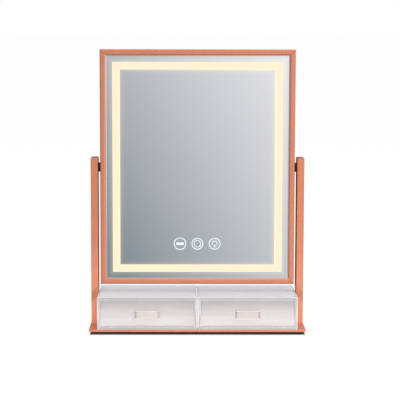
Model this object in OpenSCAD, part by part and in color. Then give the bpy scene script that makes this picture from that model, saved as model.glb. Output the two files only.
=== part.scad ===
// Table-top vanity mirror: a lit, tilting rectangular mirror between two posts, over two clear drawers.
// Millimetres. X runs to the viewer's right, Y away from the viewer, Z up.
// The origin is the middle of the base pad's underside.

/* [Base] */
// How far the base plate reaches past a post at each side
plate_side = 1.5; // [0.5:0.5:12]
// Depth of the base plate, front to back
plate_d = 132; // [126:1:170]
// Thickness of the base plate
plate_t = 3.5; // [3:0.5:8]
// Corner radius of the base plate
plate_r = 3; // [1:0.5:10]
// Bevel round the top of the base plate
plate_bevel = 0.8; // [0.2:0.1:1.5]
// Thickness of the rubber pad under the plate
pad_t = 3.5; // [1.5:0.5:6]
// Distance from the plate's edge in to the pad's edge
pad_inset = 3.5; // [2:0.5:8]
// Gap between the pad and the head of a foot screw
pad_screw_gap = 0.8; // [0.3:0.1:1.5]

/* [Posts] */
// Width of a post, side to side
post_w = 12; // [11:0.5:16]
// Depth of a post, front to back
post_d = 33; // [26:1:45]
// Wall of the post's rectangular tube
post_wall = 1.5; // [1:0.1:2]
// Outer corner radius of the post's tube
post_r = 1; // [0.4:0.1:1.4]
// Height of a post's tube above the pivot
post_over_pivot = 14; // [9:0.5:30]
// Thickness of the cap on a post
cap_t = 2.5; // [1.5:0.25:5]
// Bevel round the top of the cap
cap_bevel = 0.8; // [0.2:0.1:1.2]
// Depth of the cap's plug inside the tube
cap_plug = 3; // [1.5:0.25:3.5]
// Gap round a plug or block inside the tube
plug_gap = 0.05; // [0.02:0.01:0.2]
// Height of the block inside the post's foot
foot_block_h = 22; // [16:1:40]
// Radius of a foot screw's shank
foot_screw_r = 2.5; // [2:0.25:3]
// Radius of a foot screw's countersunk head
foot_head_r = 4.6; // [3.5:0.1:5.5]
// Length of a foot screw inside the foot block
foot_screw_grip = 14; // [8:0.5:16]
// Distance between the two foot screws of a post
foot_screw_gap = 18; // [13:0.5:19]

/* [Pivot] */
// Distance from the cases' roofs up to the mirror's frame
mirror_clear = 13.5; // [6:0.5:40]
// Gap between the mirror's frame and a post
pivot_gap = 4; // [2:0.25:6]
// Radius of the pivot stud
stud_r = 3; // [2.5:0.25:3.5]
// Running clearance round the stud in its bush
stud_run = 0.05; // [0.01:0.01:0.1]
// Radius of the black washer in the gap
washer_r = 8; // [6.5:0.25:9]
// Air between the washer and the turning frame
washer_air = 0.3; // [0.2:0.05:0.4]
// Radius of the bush's barrel in the post's wall
bush_r = 4.5; // [4:0.25:5.5]
// Radius of the bush's flange inside the post
bush_flange_r = 7; // [6:0.25:8]
// Thickness of the bush's flange
bush_flange_t = 1.2; // [0.8:0.1:1.6]
// Radius of the spring washer
spring_r = 6.2; // [5:0.1:7]
// Height of the spring washer's cone
spring_h = 1.2; // [0.9:0.1:1.4]
// Thickness of the spring washer's sheet
spring_t = 0.6; // [0.4:0.1:0.7]
// Width of the lock nut across its flats
nut_flats = 10; // [9:0.5:12]
// Thickness of the lock nut
nut_t = 4; // [3:0.25:4.5]
// Air at both ends of the stack inside the post
stack_air = 0.3; // [0.2:0.05:0.4]

/* [Mirror frame] */
// Width of the mirror's frame
frame_w = 328; // [280:1:420]
// Height of the mirror's frame
frame_h = 397; // [340:1:520]
// Depth of the frame, front to back
frame_d = 25; // [24:0.5:32]
// Width of the frame's face seen from the front
frame_face = 8.5; // [7.5:0.25:12]
// Thickness of the frame's walls
frame_wall = 1.6; // [1.2:0.1:2]
// Bevel along the front's outer edge
frame_bevel = 0.8; // [0.3:0.1:1]
// Bevel along the front lip's inner edge
lip_bevel = 1; // [0.3:0.1:1.2]
// Thickness of the ledges and the inner wall of the profile
ledge_t = 1.2; // [0.9:0.1:1.5]
// Gap at each face of a piece that slides in the frame
slot_gap = 0.1; // [0.05:0.05:0.2]
// Gap between the frame's walls and the edge of the glass
glass_edge_gap = 0.6; // [0.3:0.1:1]
// Length of each leg of a corner key
key_leg = 30; // [18:1:50]
// Length of the block that holds a pivot stud
pivot_block_len = 30; // [20:1:50]

/* [Glass and light] */
// Thickness of the mirror glass
glass_t = 4; // [3:0.5:5]
// Distance from the frame's lip to the frosted band
band_margin = 11; // [8:0.5:20]
// Width of the frosted band
band_w = 14; // [10:0.5:20]
// Depth of the frosted band in the glass
band_t = 1; // [0.5:0.1:2]
// How far the light channel reaches past the band on each side
channel_over = 2; // [1:0.25:3]
// Thickness of the light channel's walls
channel_wall = 1.2; // [0.8:0.1:2]
// Thickness of the opal diffuser
diffuser_t = 2; // [1:0.5:3]
// Width of a light strip
strip_w = 8; // [5:0.5:8.5]
// Thickness of a light strip
strip_t = 0.8; // [0.5:0.1:1.5]
// Length of a light chip along its strip
chip_l = 3.5; // [2:0.5:5]
// Width of a light chip across its strip
chip_w = 2.8; // [1.5:0.1:4]
// Height of a light chip
chip_t = 0.7; // [0.4:0.1:1]
// Distance between two light chips
chip_pitch = 14; // [10:1:30]

/* [Inside the mirror] */
// Thickness of the back cover
cover_t = 2; // [1.5:0.1:3]
// Gap round the back cover inside the frame
cover_gap = 0.3; // [0.1:0.1:0.6]
// Radius of a back screw's shank
back_screw_r = 1.5; // [1:0.1:1.6]
// Radius of a back screw's head
back_head_r = 2.7; // [2:0.1:2.8]
// Height of a back screw's head
back_head_t = 1.6; // [1:0.1:2.2]
// Length of a back screw in the frame, past the cover
back_screw_grip = 6; // [3:0.5:9]
// Distance from the end of a rail to its back screw
back_screw_inset = 64; // [45:1:90]
// Width of the control board
board_w = 70; // [50:1:90]
// Height of the control board
board_h = 45; // [40:1:60]
// Thickness of the control board
board_t = 1.6; // [1:0.1:2]
// Distance from the light channel's lower run up to the control board's middle
board_up = 108; // [98:1:130]
// Height of the posts that carry the control board
standoff_h = 3.6; // [3:0.1:4.5]
// Radius of the posts that carry the control board
standoff_r = 3; // [2:0.1:3.5]
// Width of the touch board
touch_w = 90; // [80:1:110]
// Height of the touch board
touch_h = 24; // [20:1:28]
// Thickness of the touch board
touch_t = 1.2; // [0.8:0.1:1.6]
// Thickness of a touch pad on its board
touch_pad_t = 0.3; // [0.1:0.05:0.5]
// Radius of a touch pad
touch_pad_r = 9; // [7:0.5:10]
// Distance between two touch pads
touch_pitch = 29; // [22:0.5:32]
// Distance from the light channel's lower run up to the middle of the touch pads
touch_up = 33.7; // [28:0.1:40]
// Distance from the head's middle across to the power socket
socket_x = 75; // [62:1:90]
// Distance from the light channel's lower run up to the power socket's middle
socket_up = 23; // [10:0.5:40]
// Radius of the power socket's body
socket_r = 5.5; // [4.5:0.1:6]
// Radius of the power socket's rim on the cover
socket_rim_r = 7; // [6.5:0.1:8]
// Height of the power socket's rim on the cover
socket_rim_t = 1.2; // [0.6:0.1:2]
// Radius of the power socket's bore
socket_bore_r = 2.9; // [2.5:0.1:3.5]
// Depth of the power socket's bore
socket_bore_len = 10; // [8:0.5:11]
// Radius of the pin inside the power socket
socket_pin_r = 1.05; // [0.8:0.05:1.3]
// Length of the power socket's body behind its rim
socket_len = 12; // [11.5:0.5:13]
// Radius of a wire
wire_r = 0.7; // [0.4:0.1:0.9]
// Width of the flat touch cable
ribbon_w = 8; // [5:0.5:14]
// Thickness of the flat touch cable
ribbon_t = 0.4; // [0.2:0.1:0.5]

/* [Drawer cases] */
// Depth of a case, front to back
case_d = 116; // [100:1:125]
// Height of a case
case_h = 55; // [40:0.5:58]
// Wall of a case
case_wall = 3; // [2:0.25:4]
// Outer corner radius of a case
case_r = 2.5; // [1:0.25:3]
// Distance from the plate's front edge back to the case
case_setback = 1; // [0:0.5:3]
// Gap between a case and a post
case_side_gap = 0.4; // [0.3:0.1:3]
// Gap between the two cases
case_seam = 0.2; // [0:0.1:1]
// Height of a runner rib on the case's floor
rib_h = 0.5; // [0.3:0.1:1]
// Width of a runner rib on the case's floor
rib_w = 3; // [2:0.5:6]

/* [Drawers] */
// Gap between a drawer and its case at each side
drawer_side_gap = 0.8; // [0.4:0.1:1.2]
// Gap between a drawer and its case's roof
drawer_top_gap = 0.8; // [0.4:0.1:1.2]
// Gap between a drawer and its runner ribs
drawer_floor_gap = 0.3; // [0.2:0.05:0.5]
// Gap between a drawer and its case's back wall
drawer_back_gap = 2; // [0.5:0.5:4]
// Thickness of a drawer's sides, back and floor
drawer_wall = 2; // [1.5:0.25:3]
// Thickness of a drawer's front
drawer_front = 3; // [2:0.25:4]
// How far a drawer's sides end below its front's top edge
drawer_side_drop = 3; // [0:0.5:6]
// Radius of a drawer's corners and of its floor's edges
drawer_r = 4; // [3.5:0.25:8]
// Corner radius of a drawer's front
front_r = 1.5; // [1.2:0.1:3]
// Width of a pull
pull_w = 42; // [30:0.5:60]
// Height of a pull
pull_h = 14; // [10:0.5:18]
// Gap for the fingers behind a pull's bar
pull_gap = 5; // [4.5:0.25:10]
// Thickness of a pull's bar
pull_bar = 3; // [2:0.25:4]
// Width of each post of a pull
pull_post = 5; // [3:0.25:8]
// Outer corner radius of a pull
pull_r = 3; // [1:0.25:4]
// Height of a pull's middle above the middle of the drawer's front
pull_up = -1; // [-4:0.5:8]

/* [Hidden] */

LEFT = -1;
RIGHT = 1;
// Overshoot of a cutting solid past the face that it cuts
cut = 1;
// A wire's bend is this much thicker than the wire
bend_swell = 1.1;

rose_gold = "#d9906f";
black_rubber = "#151515";
steel = "#b8bcc0";
clear_plastic = [0.88, 0.87, 0.89, 0.45];
mirror_grey = "#b4bcc2";
warm_white = "#fff0cc";
white_plastic = "#f2f2ee";
board_green = "#1f6b45";
copper = "#c77b3c";

$fn = 64;

// Levels and places
plate_z = pad_t;
deck_z = pad_t + plate_t;
case_top_z = deck_z + case_h;
pivot_h = case_top_z + mirror_clear + frame_h / 2;
post_inner_x = frame_w / 2 + pivot_gap;
post_mid_x = post_inner_x + post_w / 2;
plate_w = 2 * (post_inner_x + post_w + plate_side);
post_h = pivot_h + post_over_pivot - deck_z;
post_top_z = deck_z + post_h;
bore_w = post_w - 2 * post_wall;
bore_d = post_d - 2 * post_wall;
countersink = foot_head_r - foot_screw_r;

// Depths in the head, from the frame's front face back
lip_v = frame_wall;
glass_v = lip_v + slot_gap;
glass_back_v = glass_v + glass_t;
ledge_v = glass_back_v + slot_gap;
cover_v = frame_d - cover_t - back_head_t - slot_gap;
rear_ledge_v = cover_v - slot_gap - ledge_t;
chamber_front_v = ledge_v + ledge_t;
chamber_back_v = rear_ledge_v;
chamber_mid_v = (chamber_front_v + chamber_back_v) / 2;
// Widths in the frame's profile, from its outer face in
chamber_out_u = frame_wall;
chamber_in_u = frame_face - ledge_t;
chamber_mid_u = (chamber_out_u + chamber_in_u) / 2;
chamber_du = chamber_in_u - chamber_out_u;
chamber_dv = chamber_back_v - chamber_front_v;

// Rings of the light, each given by its distance in from the frame's outer face
band_out = frame_face + band_margin;
band_in = band_out + band_w;
channel_out = band_out - channel_over;
channel_in = band_in + channel_over;
strip_mid = (band_out + band_in) / 2;
channel_back_v = rear_ledge_v;
strip_back_v = channel_back_v - channel_wall;
strip_front_v = strip_back_v - strip_t;

// Places of the boards and the socket, down from the pivot to each one's middle
low_run = frame_h / 2 - channel_in;
board_drop = low_run - board_up;
touch_drop = low_run - touch_up;
socket_drop = low_run - socket_up;
board_foot_z = -board_drop - board_h / 2;

// Depths of the boards
board_back_v = cover_v - standoff_h;
board_front_v = board_back_v - board_t;
touch_front_v = glass_back_v + touch_pad_t;
touch_back_v = touch_front_v + touch_t;
socket_front_v = cover_v - socket_len;

// Pivot stack, from the frame's outer face outwards
stack_wall_x = pivot_gap;
stack_flange_x = stack_wall_x + post_wall;
stack_spring_x = stack_flange_x + bush_flange_t + stack_air;
stack_nut_x = stack_spring_x + spring_h;
stack_end_x = pivot_gap + post_w - post_wall - stack_air;

// Cases and drawers
cases_w = 2 * (post_inner_x - case_side_gap);
case_w = (cases_w - case_seam) / 2;
case_mid_x = (case_w + case_seam) / 2;
case_front_y = -plate_d / 2 + case_setback;
drawer_w = case_w - 2 * case_wall - 2 * drawer_side_gap;
drawer_d = case_d - case_wall - drawer_back_gap;
drawer_z = deck_z + case_wall + rib_h + drawer_floor_gap;
drawer_h = case_top_z - case_wall - drawer_top_gap - drawer_z;
rib_inset = drawer_w / 8;
pull_z = drawer_z + drawer_h / 2 + pull_up;
pull_out = pull_gap + pull_bar;

// Places that shapes share

module on_side(side) {
    mirror([side < 0 ? 1 : 0, 0, 0]) children();
}

// Head coordinates: Y is the depth behind the frame's front face, Z is measured from the pivot
module in_head() {
    translate([0, -chamber_mid_v, pivot_h]) children();
}

// Pivot coordinates: Z runs outwards along the pivot from the frame's outer face
module on_pivot(side) {
    on_side(side) translate([frame_w / 2, 0, pivot_h]) rotate([0, 90, 0]) children();
}

module at_foot_screws() {
    for (row = [-1, 1]) translate([0, row * foot_screw_gap / 2, 0]) children();
}

// Shared shapes

module rounded_rect(w, d, r) {
    square([w - 2 * r, d], center = true);
    square([w, d - 2 * r], center = true);
    for (x = [-1, 1], y = [-1, 1])
        translate([x * (w / 2 - r), y * (d / 2 - r)]) circle(r);
}

module rounded_slab(w, d, h, r) {
    linear_extrude(h) rounded_rect(w, d, r);
}

// Slab whose four top edges are bevelled
module bevelled_slab(w, d, h, r, bevel) {
    side = bevel * sqrt(2);
    difference() {
        rounded_slab(w, d, h, r);
        for (turn = [0, 180]) rotate(turn) {
            translate([w / 2, 0, h]) rotate([0, 45, 0]) cube([side, d + 2 * cut, side], center = true);
            translate([0, d / 2, h]) rotate([45, 0, 0]) cube([w + 2 * cut, side, side], center = true);
        }
    }
}

// Tub with one radius at its upright corners and round its floor, standing on the XY plane
module rounded_tub(w, d, h, r) {
    translate([0, 0, r]) rounded_slab(w, d, h - r, r);
    translate([0, 0, r / 2]) cube([w - 2 * r, d - 2 * r, r], center = true);
    for (x = [-1, 1]) {
        translate([x * (w / 2 - r), 0, r]) rotate([90, 0, 0]) cylinder(h = d - 2 * r, r = r, center = true);
        for (y = [-1, 1]) translate([x * (w / 2 - r), y * (d / 2 - r), r]) sphere(r);
    }
    for (y = [-1, 1]) translate([0, y * (d / 2 - r), r]) rotate([0, 90, 0])
        cylinder(h = w - 2 * r, r = r, center = true);
}

// Upright rectangle in the head, inset from the frame's outer edge, from one depth back to another
module head_panel(inset, front_v, back_v) {
    translate([inset - frame_w / 2, front_v, inset - frame_h / 2])
        cube([frame_w - 2 * inset, back_v - front_v, frame_h - 2 * inset]);
}

module head_ring(outer_inset, inner_inset, front_v, back_v) {
    difference() {
        head_panel(outer_inset, front_v, back_v);
        head_panel(inner_inset, front_v - cut, back_v + cut);
    }
}

// Round bar in the head from one depth back to another
module head_bar(x, z, r, front_v, back_v) {
    translate([x, front_v, z]) rotate([-90, 0, 0]) cylinder(h = back_v - front_v, r = r);
}

// Wire of round section through a list of points, with a slightly thicker ball at each bend
module wire(points, r) {
    for (i = [0 : len(points) - 2]) {
        step = points[i + 1] - points[i];
        run = norm(step);
        translate(points[i])
            rotate([0, acos(step[2] / run), atan2(step[1], step[0])])
            cylinder(h = run, r = r);
    }
    for (i = [1 : 1 : len(points) - 2]) translate(points[i]) sphere(r * bend_swell);
}

// Base

module base_plate() {
    color(rose_gold) difference() {
        translate([0, 0, plate_z]) bevelled_slab(plate_w, plate_d, plate_t, plate_r, plate_bevel);
        for (side = [LEFT, RIGHT]) translate([side * post_mid_x, 0, plate_z]) at_foot_screws() {
            translate([0, 0, -cut]) cylinder(h = plate_t + 2 * cut, r = foot_screw_r);
            cylinder(h = countersink, r1 = foot_head_r, r2 = foot_screw_r);
        }
    }
}

// The pad is notched round the heads of the foot screws
module base_pad() {
    color(black_rubber) difference() {
        rounded_slab(plate_w - 2 * pad_inset, plate_d - 2 * pad_inset, pad_t, plate_r);
        for (side = [LEFT, RIGHT]) translate([side * post_mid_x, 0, -cut]) at_foot_screws()
            cylinder(h = pad_t + 2 * cut, r = foot_head_r + pad_screw_gap);
    }
}

// Posts

module arm(side) {
    color(rose_gold) difference() {
        translate([side * post_mid_x, 0, deck_z]) difference() {
            rounded_slab(post_w, post_d, post_h, post_r);
            translate([0, 0, post_h / 2]) cube([bore_w, bore_d, post_h + 2 * cut], center = true);
        }
        on_pivot(side) translate([0, 0, stack_wall_x - cut])
            cylinder(h = post_wall + 2 * cut, r = bush_r);
    }
}

module arm_cap(side) {
    color(rose_gold) translate([side * post_mid_x, 0, post_top_z]) {
        bevelled_slab(post_w, post_d, cap_t, post_r, cap_bevel);
        translate([0, 0, -cap_plug / 2])
            cube([bore_w - 2 * plug_gap, bore_d - 2 * plug_gap, cap_plug], center = true);
    }
}

module foot_block(side) {
    color(steel) translate([side * post_mid_x, 0, deck_z]) difference() {
        translate([0, 0, foot_block_h / 2])
            cube([bore_w - 2 * plug_gap, bore_d - 2 * plug_gap, foot_block_h], center = true);
        at_foot_screws() translate([0, 0, -cut])
            cylinder(h = foot_screw_grip + 2 * cut, r = foot_screw_r);
    }
}

module arm_screws() {
    color(steel) for (side = [LEFT, RIGHT])
        translate([side * post_mid_x, 0, plate_z]) at_foot_screws() {
            cylinder(h = countersink, r1 = foot_head_r, r2 = foot_screw_r);
            cylinder(h = plate_t + foot_screw_grip, r = foot_screw_r);
        }
}

// Pivots

module pivot_washer(side) {
    color(black_rubber) on_pivot(side) translate([0, 0, washer_air]) difference() {
        cylinder(h = pivot_gap - washer_air, r = washer_r);
        translate([0, 0, -cut]) cylinder(h = pivot_gap + 2 * cut, r = stud_r + stud_run);
    }
}

module pivot_bush(side) {
    color(black_rubber) on_pivot(side) difference() {
        union() {
            translate([0, 0, stack_wall_x]) cylinder(h = post_wall, r = bush_r);
            translate([0, 0, stack_flange_x]) cylinder(h = bush_flange_t, r = bush_flange_r);
        }
        translate([0, 0, stack_wall_x - cut])
            cylinder(h = post_wall + bush_flange_t + 2 * cut, r = stud_r + stud_run);
    }
}

module pivot_block(side) {
    color(steel) difference() {
        on_side(side) translate([frame_w / 2 - chamber_mid_u, 0, pivot_h])
            cube([chamber_du - 2 * slot_gap, chamber_dv - 2 * slot_gap, pivot_block_len], center = true);
        on_pivot(side) translate([0, 0, -frame_face]) cylinder(h = frame_face, r = stud_r);
    }
}

module pivot_stud(side) {
    color(steel) on_pivot(side) translate([0, 0, slot_gap - chamber_in_u])
        cylinder(h = chamber_in_u - slot_gap + stack_end_x, r = stud_r);
}

// Cone of sheet steel, open round the stud, with its wide edge towards the bush
module spring_washer(side) {
    color(steel) on_pivot(side) translate([0, 0, stack_spring_x]) rotate_extrude()
        polygon([
            [spring_r, 0], [spring_r, spring_t],
            [stud_r, spring_h], [stud_r, spring_h - spring_t]
        ]);
}

module lock_nut(side) {
    color(steel) on_pivot(side) translate([0, 0, stack_nut_x]) difference() {
        cylinder(h = nut_t, r = nut_flats / sqrt(3), $fn = 6);
        translate([0, 0, -cut]) cylinder(h = nut_t + 2 * cut, r = stud_r);
    }
}

// Mirror frame

// Section of the frame: X is the distance in from the outer face, Y the depth from the front.
// The front lip holds the glass against the first ledge, and a closed chamber lies behind it.
module frame_profile() {
    difference() {
        polygon([
            [0, frame_bevel], [frame_bevel, 0],
            [frame_face - lip_bevel, 0], [frame_face, lip_bevel], [frame_face, lip_v],
            [frame_wall, lip_v], [frame_wall, ledge_v],
            [frame_face, ledge_v], [frame_face, cover_v - slot_gap],
            [frame_wall, cover_v - slot_gap], [frame_wall, frame_d],
            [0, frame_d]
        ]);
        translate([chamber_out_u, chamber_front_v]) square([chamber_du, chamber_dv]);
    }
}

// One rail, lying as the bottom rail does, with its outer face on the XY plane and mitred ends
module rail(length) {
    intersection() {
        rotate([0, -90, 0]) linear_extrude(length, center = true) frame_profile();
        rotate([90, 0, 0]) translate([0, 0, -frame_d - cut]) linear_extrude(frame_d + 2 * cut)
            polygon([
                [-length / 2, 0], [length / 2, 0],
                [length / 2 - frame_d, frame_d], [frame_d - length / 2, frame_d]
            ]);
    }
}

// Places a piece drawn on the bottom rail on the rail at the given turn about the pivot
module on_rail(turn, height) {
    in_head() rotate([0, turn, 0]) translate([0, 0, -height / 2]) children();
}

module frame_rail(turn, length, height) {
    color(rose_gold) difference() {
        on_rail(turn, height) difference() {
            rail(length);
            back_screw_holes(length);
        }
        if (length == frame_h) for (side = [LEFT, RIGHT])
            on_pivot(side) translate([0, 0, -frame_wall - cut])
                cylinder(h = frame_wall + 2 * cut, r = stud_r + slot_gap);
    }
}

// The two back screws of a rail of that length, at the places where they go through it
module at_back_screws(length) {
    for (side = [LEFT, RIGHT]) translate([side * (length / 2 - back_screw_inset), 0, chamber_mid_u])
        children();
}

module back_screw_holes(length) {
    at_back_screws(length)
        head_bar(0, 0, back_screw_r, cover_v - back_screw_grip, cover_v + cover_t + cut);
}

// The four corner keys join the rails inside their chambers
module corner_keys() {
    outer = chamber_out_u + slot_gap;
    thick = chamber_du - 2 * slot_gap;
    color(steel) in_head() for (x = [-1, 1], z = [-1, 1])
        translate([x * (frame_w / 2 - outer), 0, z * (frame_h / 2 - outer)])
            mirror([x > 0 ? 1 : 0, 0, 0]) mirror([0, 0, z > 0 ? 1 : 0])
            translate([0, chamber_front_v + slot_gap, 0]) {
                cube([key_leg, chamber_dv - 2 * slot_gap, thick]);
                cube([thick, chamber_dv - 2 * slot_gap, key_leg]);
            }
}

// Glass and light

module mirror_glass() {
    color(mirror_grey) in_head() difference() {
        head_panel(frame_wall + glass_edge_gap, glass_v, glass_back_v);
        head_ring(band_out, band_in, glass_v - cut, glass_v + band_t);
    }
}

module light_band() {
    color(warm_white) in_head() head_ring(band_out, band_in, glass_v, glass_v + band_t);
}

module light_diffuser() {
    edge = channel_wall + slot_gap;
    color(white_plastic) in_head()
        head_ring(channel_out + edge, channel_in - edge, glass_back_v, glass_back_v + diffuser_t);
}

// Ring-shaped trough, open to the front, with a hole for the light strip's wires
module light_channel() {
    color(white_plastic) in_head() difference() {
        head_ring(channel_out, channel_in, glass_back_v, channel_back_v);
        head_ring(channel_out + channel_wall, channel_in - channel_wall, glass_back_v - cut, strip_back_v);
        translate([led_entry_x - cut, plug_v - wire_pass, led_entry_z - wire_gap / 2 - wire_pass])
            cube([channel_wall + 2 * cut, 2 * wire_pass, wire_gap + 2 * wire_pass]);
    }
}

module led_strip_across(level) {
    color(white_plastic) in_head()
        translate([strip_mid - frame_w / 2 - strip_w / 2, strip_front_v, level * strip_z - strip_w / 2])
        cube([2 * strip_x + strip_w, strip_t, strip_w]);
}

module led_strip_upright(side) {
    color(white_plastic) in_head()
        translate([side * strip_x - strip_w / 2, strip_front_v, strip_w / 2 - strip_z])
        cube([strip_w, strip_t, 2 * strip_z - strip_w]);
}

strip_x = frame_w / 2 - strip_mid;
strip_z = frame_h / 2 - strip_mid;
// Positions of the chips along a strip, spread evenly about its middle
function chip_places(half) =
    let (n = floor(2 * (half - strip_w) / chip_pitch)) [for (i = [0 : n]) (i - n / 2) * chip_pitch];

module led_chips() {
    color(warm_white) in_head() for (way = [-1, 1]) {
        for (x = chip_places(strip_x)) translate([x, strip_front_v - chip_t / 2, way * strip_z])
            cube([chip_l, chip_t, chip_w], center = true);
        for (z = chip_places(strip_z)) translate([way * strip_x, strip_front_v - chip_t / 2, z])
            cube([chip_w, chip_t, chip_l], center = true);
    }
}

// Back of the mirror

module back_cover() {
    color(rose_gold) in_head() difference() {
        head_panel(frame_wall + cover_gap, cover_v, cover_v + cover_t);
        head_bar(socket_x, -socket_drop, socket_r + slot_gap, cover_v - cut, cover_v + cover_t + cut);
        for (turn = [0, 180]) rotate([0, turn, 0]) translate([0, 0, -frame_h / 2])
            back_screw_holes(frame_w);
        for (turn = [90, 270]) rotate([0, turn, 0]) translate([0, 0, -frame_w / 2])
            back_screw_holes(frame_h);
    }
}

module back_screw_row(length) {
    at_back_screws(length) {
        head_bar(0, 0, back_screw_r, cover_v - back_screw_grip, cover_v + cover_t);
        head_bar(0, 0, back_head_r, cover_v + cover_t, cover_v + cover_t + back_head_t);
    }
}

module back_screws() {
    color(steel) {
        for (turn = [0, 180]) on_rail(turn, frame_h) back_screw_row(frame_w);
        for (turn = [90, 270]) on_rail(turn, frame_w) back_screw_row(frame_h);
    }
}

module control_board() {
    color(board_green) in_head()
        translate([-board_w / 2, board_front_v, board_foot_z])
        cube([board_w, board_t, board_h]);
}

module board_standoffs() {
    reach_x = board_w / 2 - 2 * standoff_r;
    reach_z = board_h / 2 - 2 * standoff_r;
    color(white_plastic) in_head() for (x = [-1, 1], z = [-1, 1])
        head_bar(x * reach_x, z * reach_z - board_drop, standoff_r, board_back_v, cover_v);
}

// A chip, a coil, two round capacitors and the housings of two plugs on the board's front face
chip_side = 10;
coil_r = 5;
coil_h = 4;
capacitor_r = 3;
capacitor_h = 4.5;
housing_l = 10;
housing_h = 4;
part_row = 12;
module board_components() {
    color("#26282b") in_head() translate([0, board_front_v, -board_drop]) {
        translate([-chip_side / 2, -touch_t, -chip_side / 2]) cube([chip_side, touch_t, chip_side]);
        head_bar(2 * part_row - coil_r, 0, coil_r, -coil_h, 0);
        for (x = [-2 * part_row, -part_row]) head_bar(x, 0, capacitor_r, -capacitor_h, 0);
        translate([part_row, -housing_h, -board_h / 2]) cube([housing_l, housing_h, housing_h]);
        translate([-board_w / 2, -housing_h, -housing_l / 2]) cube([housing_h, housing_h, housing_l]);
    }
}

module touch_board() {
    color(board_green) in_head()
        translate([-touch_w / 2, touch_front_v, -touch_drop - touch_h / 2])
        cube([touch_w, touch_t, touch_h]);
}

module touch_pads() {
    color(copper) in_head() for (i = [-1 : 1])
        head_bar(i * touch_pitch, -touch_drop, touch_pad_r, glass_back_v, touch_front_v);
}

// Round power inlet that opens to the back, with a rim on the cover
module power_socket() {
    rim_back_v = cover_v + cover_t + socket_rim_t;
    color(black_rubber) in_head() difference() {
        union() {
            head_bar(socket_x, -socket_drop, socket_r, socket_front_v, cover_v + cover_t);
            head_bar(socket_x, -socket_drop, socket_rim_r, cover_v + cover_t, rim_back_v);
        }
        head_bar(socket_x, -socket_drop, socket_bore_r, rim_back_v - socket_bore_len, rim_back_v + cut);
    }
}

module socket_pin() {
    rim_back_v = cover_v + cover_t + socket_rim_t;
    color(steel) in_head() head_bar(socket_x, -socket_drop, socket_pin_r,
        rim_back_v - socket_bore_len, rim_back_v - socket_rim_t);
}

// Pairs of wires keep this distance between their middles
wire_gap = 3;
led_entry_x = channel_in - channel_wall - frame_w / 2;
plug_v = board_front_v - housing_h / 2;
led_entry_z = -board_drop;
led_solder_x = strip_w / 2 - wire_r - strip_x;
wire_pass = wire_r * bend_swell + slot_gap;

module power_leads() {
    color(black_rubber) in_head() for (row = [-1, 1])
        let (
            offset = row * wire_gap / 2,
            turn_z = board_foot_z - socket_r + offset,
            plug_x = part_row + housing_l / 2 + offset
        )
        wire([
            [socket_x + offset, socket_front_v + socket_len / 4, socket_r - socket_drop],
            [socket_x + offset, plug_v, turn_z],
            [plug_x, plug_v, turn_z],
            [plug_x, plug_v, board_foot_z]
        ], wire_r);
}

// Flat cable, bent twice, from the back of the touch board to the front of the control board
module touch_lead() {
    low = -touch_drop;
    bend = -touch_drop + touch_h;
    high = board_foot_z + ribbon_w;
    color(white_plastic) in_head() translate([-ribbon_w / 2, 0, 0])
        rotate([90, 0, 90]) linear_extrude(ribbon_w) polygon([
            [touch_back_v, low], [touch_back_v + ribbon_t, low], [touch_back_v + ribbon_t, bend],
            [board_front_v, bend], [board_front_v, high], [board_front_v - ribbon_t, high],
            [board_front_v - ribbon_t, bend + ribbon_t], [touch_back_v, bend + ribbon_t]
        ]);
}

module led_lead() {
    color("#b03a2e") in_head() for (row = [-1, 1]) let (z = led_entry_z + row * wire_gap / 2)
        wire([
            [-board_w / 2, plug_v, z],
            [led_solder_x, plug_v, z],
            [led_solder_x, strip_front_v, z]
        ], wire_r);
}

// Drawer cases

// Clear box, open at the front, drawn with its front on the XZ plane and its floor on the XY plane
module case_shell() {
    bore_r = case_r - case_wall / 2;
    difference() {
        translate([0, case_d, case_h / 2]) rotate([90, 0, 0]) rounded_slab(case_w, case_h, case_d, case_r);
        translate([0, case_d - case_wall, case_h / 2]) rotate([90, 0, 0])
            rounded_slab(case_w - 2 * case_wall, case_h - 2 * case_wall, case_d, bore_r);
    }
    for (side = [LEFT, RIGHT])
        translate([side * (drawer_w / 2 - rib_inset) - rib_w / 2, case_wall, case_wall])
        cube([rib_w, case_d - 2 * case_wall, rib_h]);
}

module case_box(side) {
    color(clear_plastic) translate([side * case_mid_x, case_front_y, deck_z]) case_shell();
}

// Drawers

// Moulded tray behind a flat front that is flush with the case
module drawer(side) {
    inner_w = drawer_w - 2 * drawer_wall;
    inner_d = drawer_d - drawer_wall - drawer_front;
    tray_h = drawer_h - drawer_side_drop;
    color(clear_plastic) translate([side * case_mid_x, case_front_y, drawer_z]) difference() {
        union() {
            translate([0, drawer_d / 2, 0]) rounded_tub(drawer_w, drawer_d, tray_h, drawer_r);
            translate([0, drawer_front, drawer_h / 2]) rotate([90, 0, 0])
                rounded_slab(drawer_w, drawer_h, drawer_front, front_r);
        }
        translate([0, drawer_front + inner_d / 2, drawer_wall])
            rounded_tub(inner_w, inner_d, drawer_h, drawer_r - drawer_wall);
    }
}

// Bridge-shaped pull, with its gap for the fingers open at the top and bottom
module pull(side) {
    gap_w = pull_w - 2 * pull_post;
    color(clear_plastic) translate([side * case_mid_x, case_front_y, pull_z - pull_h / 2])
        linear_extrude(pull_h) difference() {
            union() {
                translate([0, -pull_out / 2]) rounded_rect(pull_w, pull_out, pull_r);
                translate([-pull_w / 2, -pull_out / 2]) square([pull_w, pull_out / 2]);
            }
            translate([-gap_w / 2, -pull_gap]) square([gap_w, pull_gap + cut]);
        }
}

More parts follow.
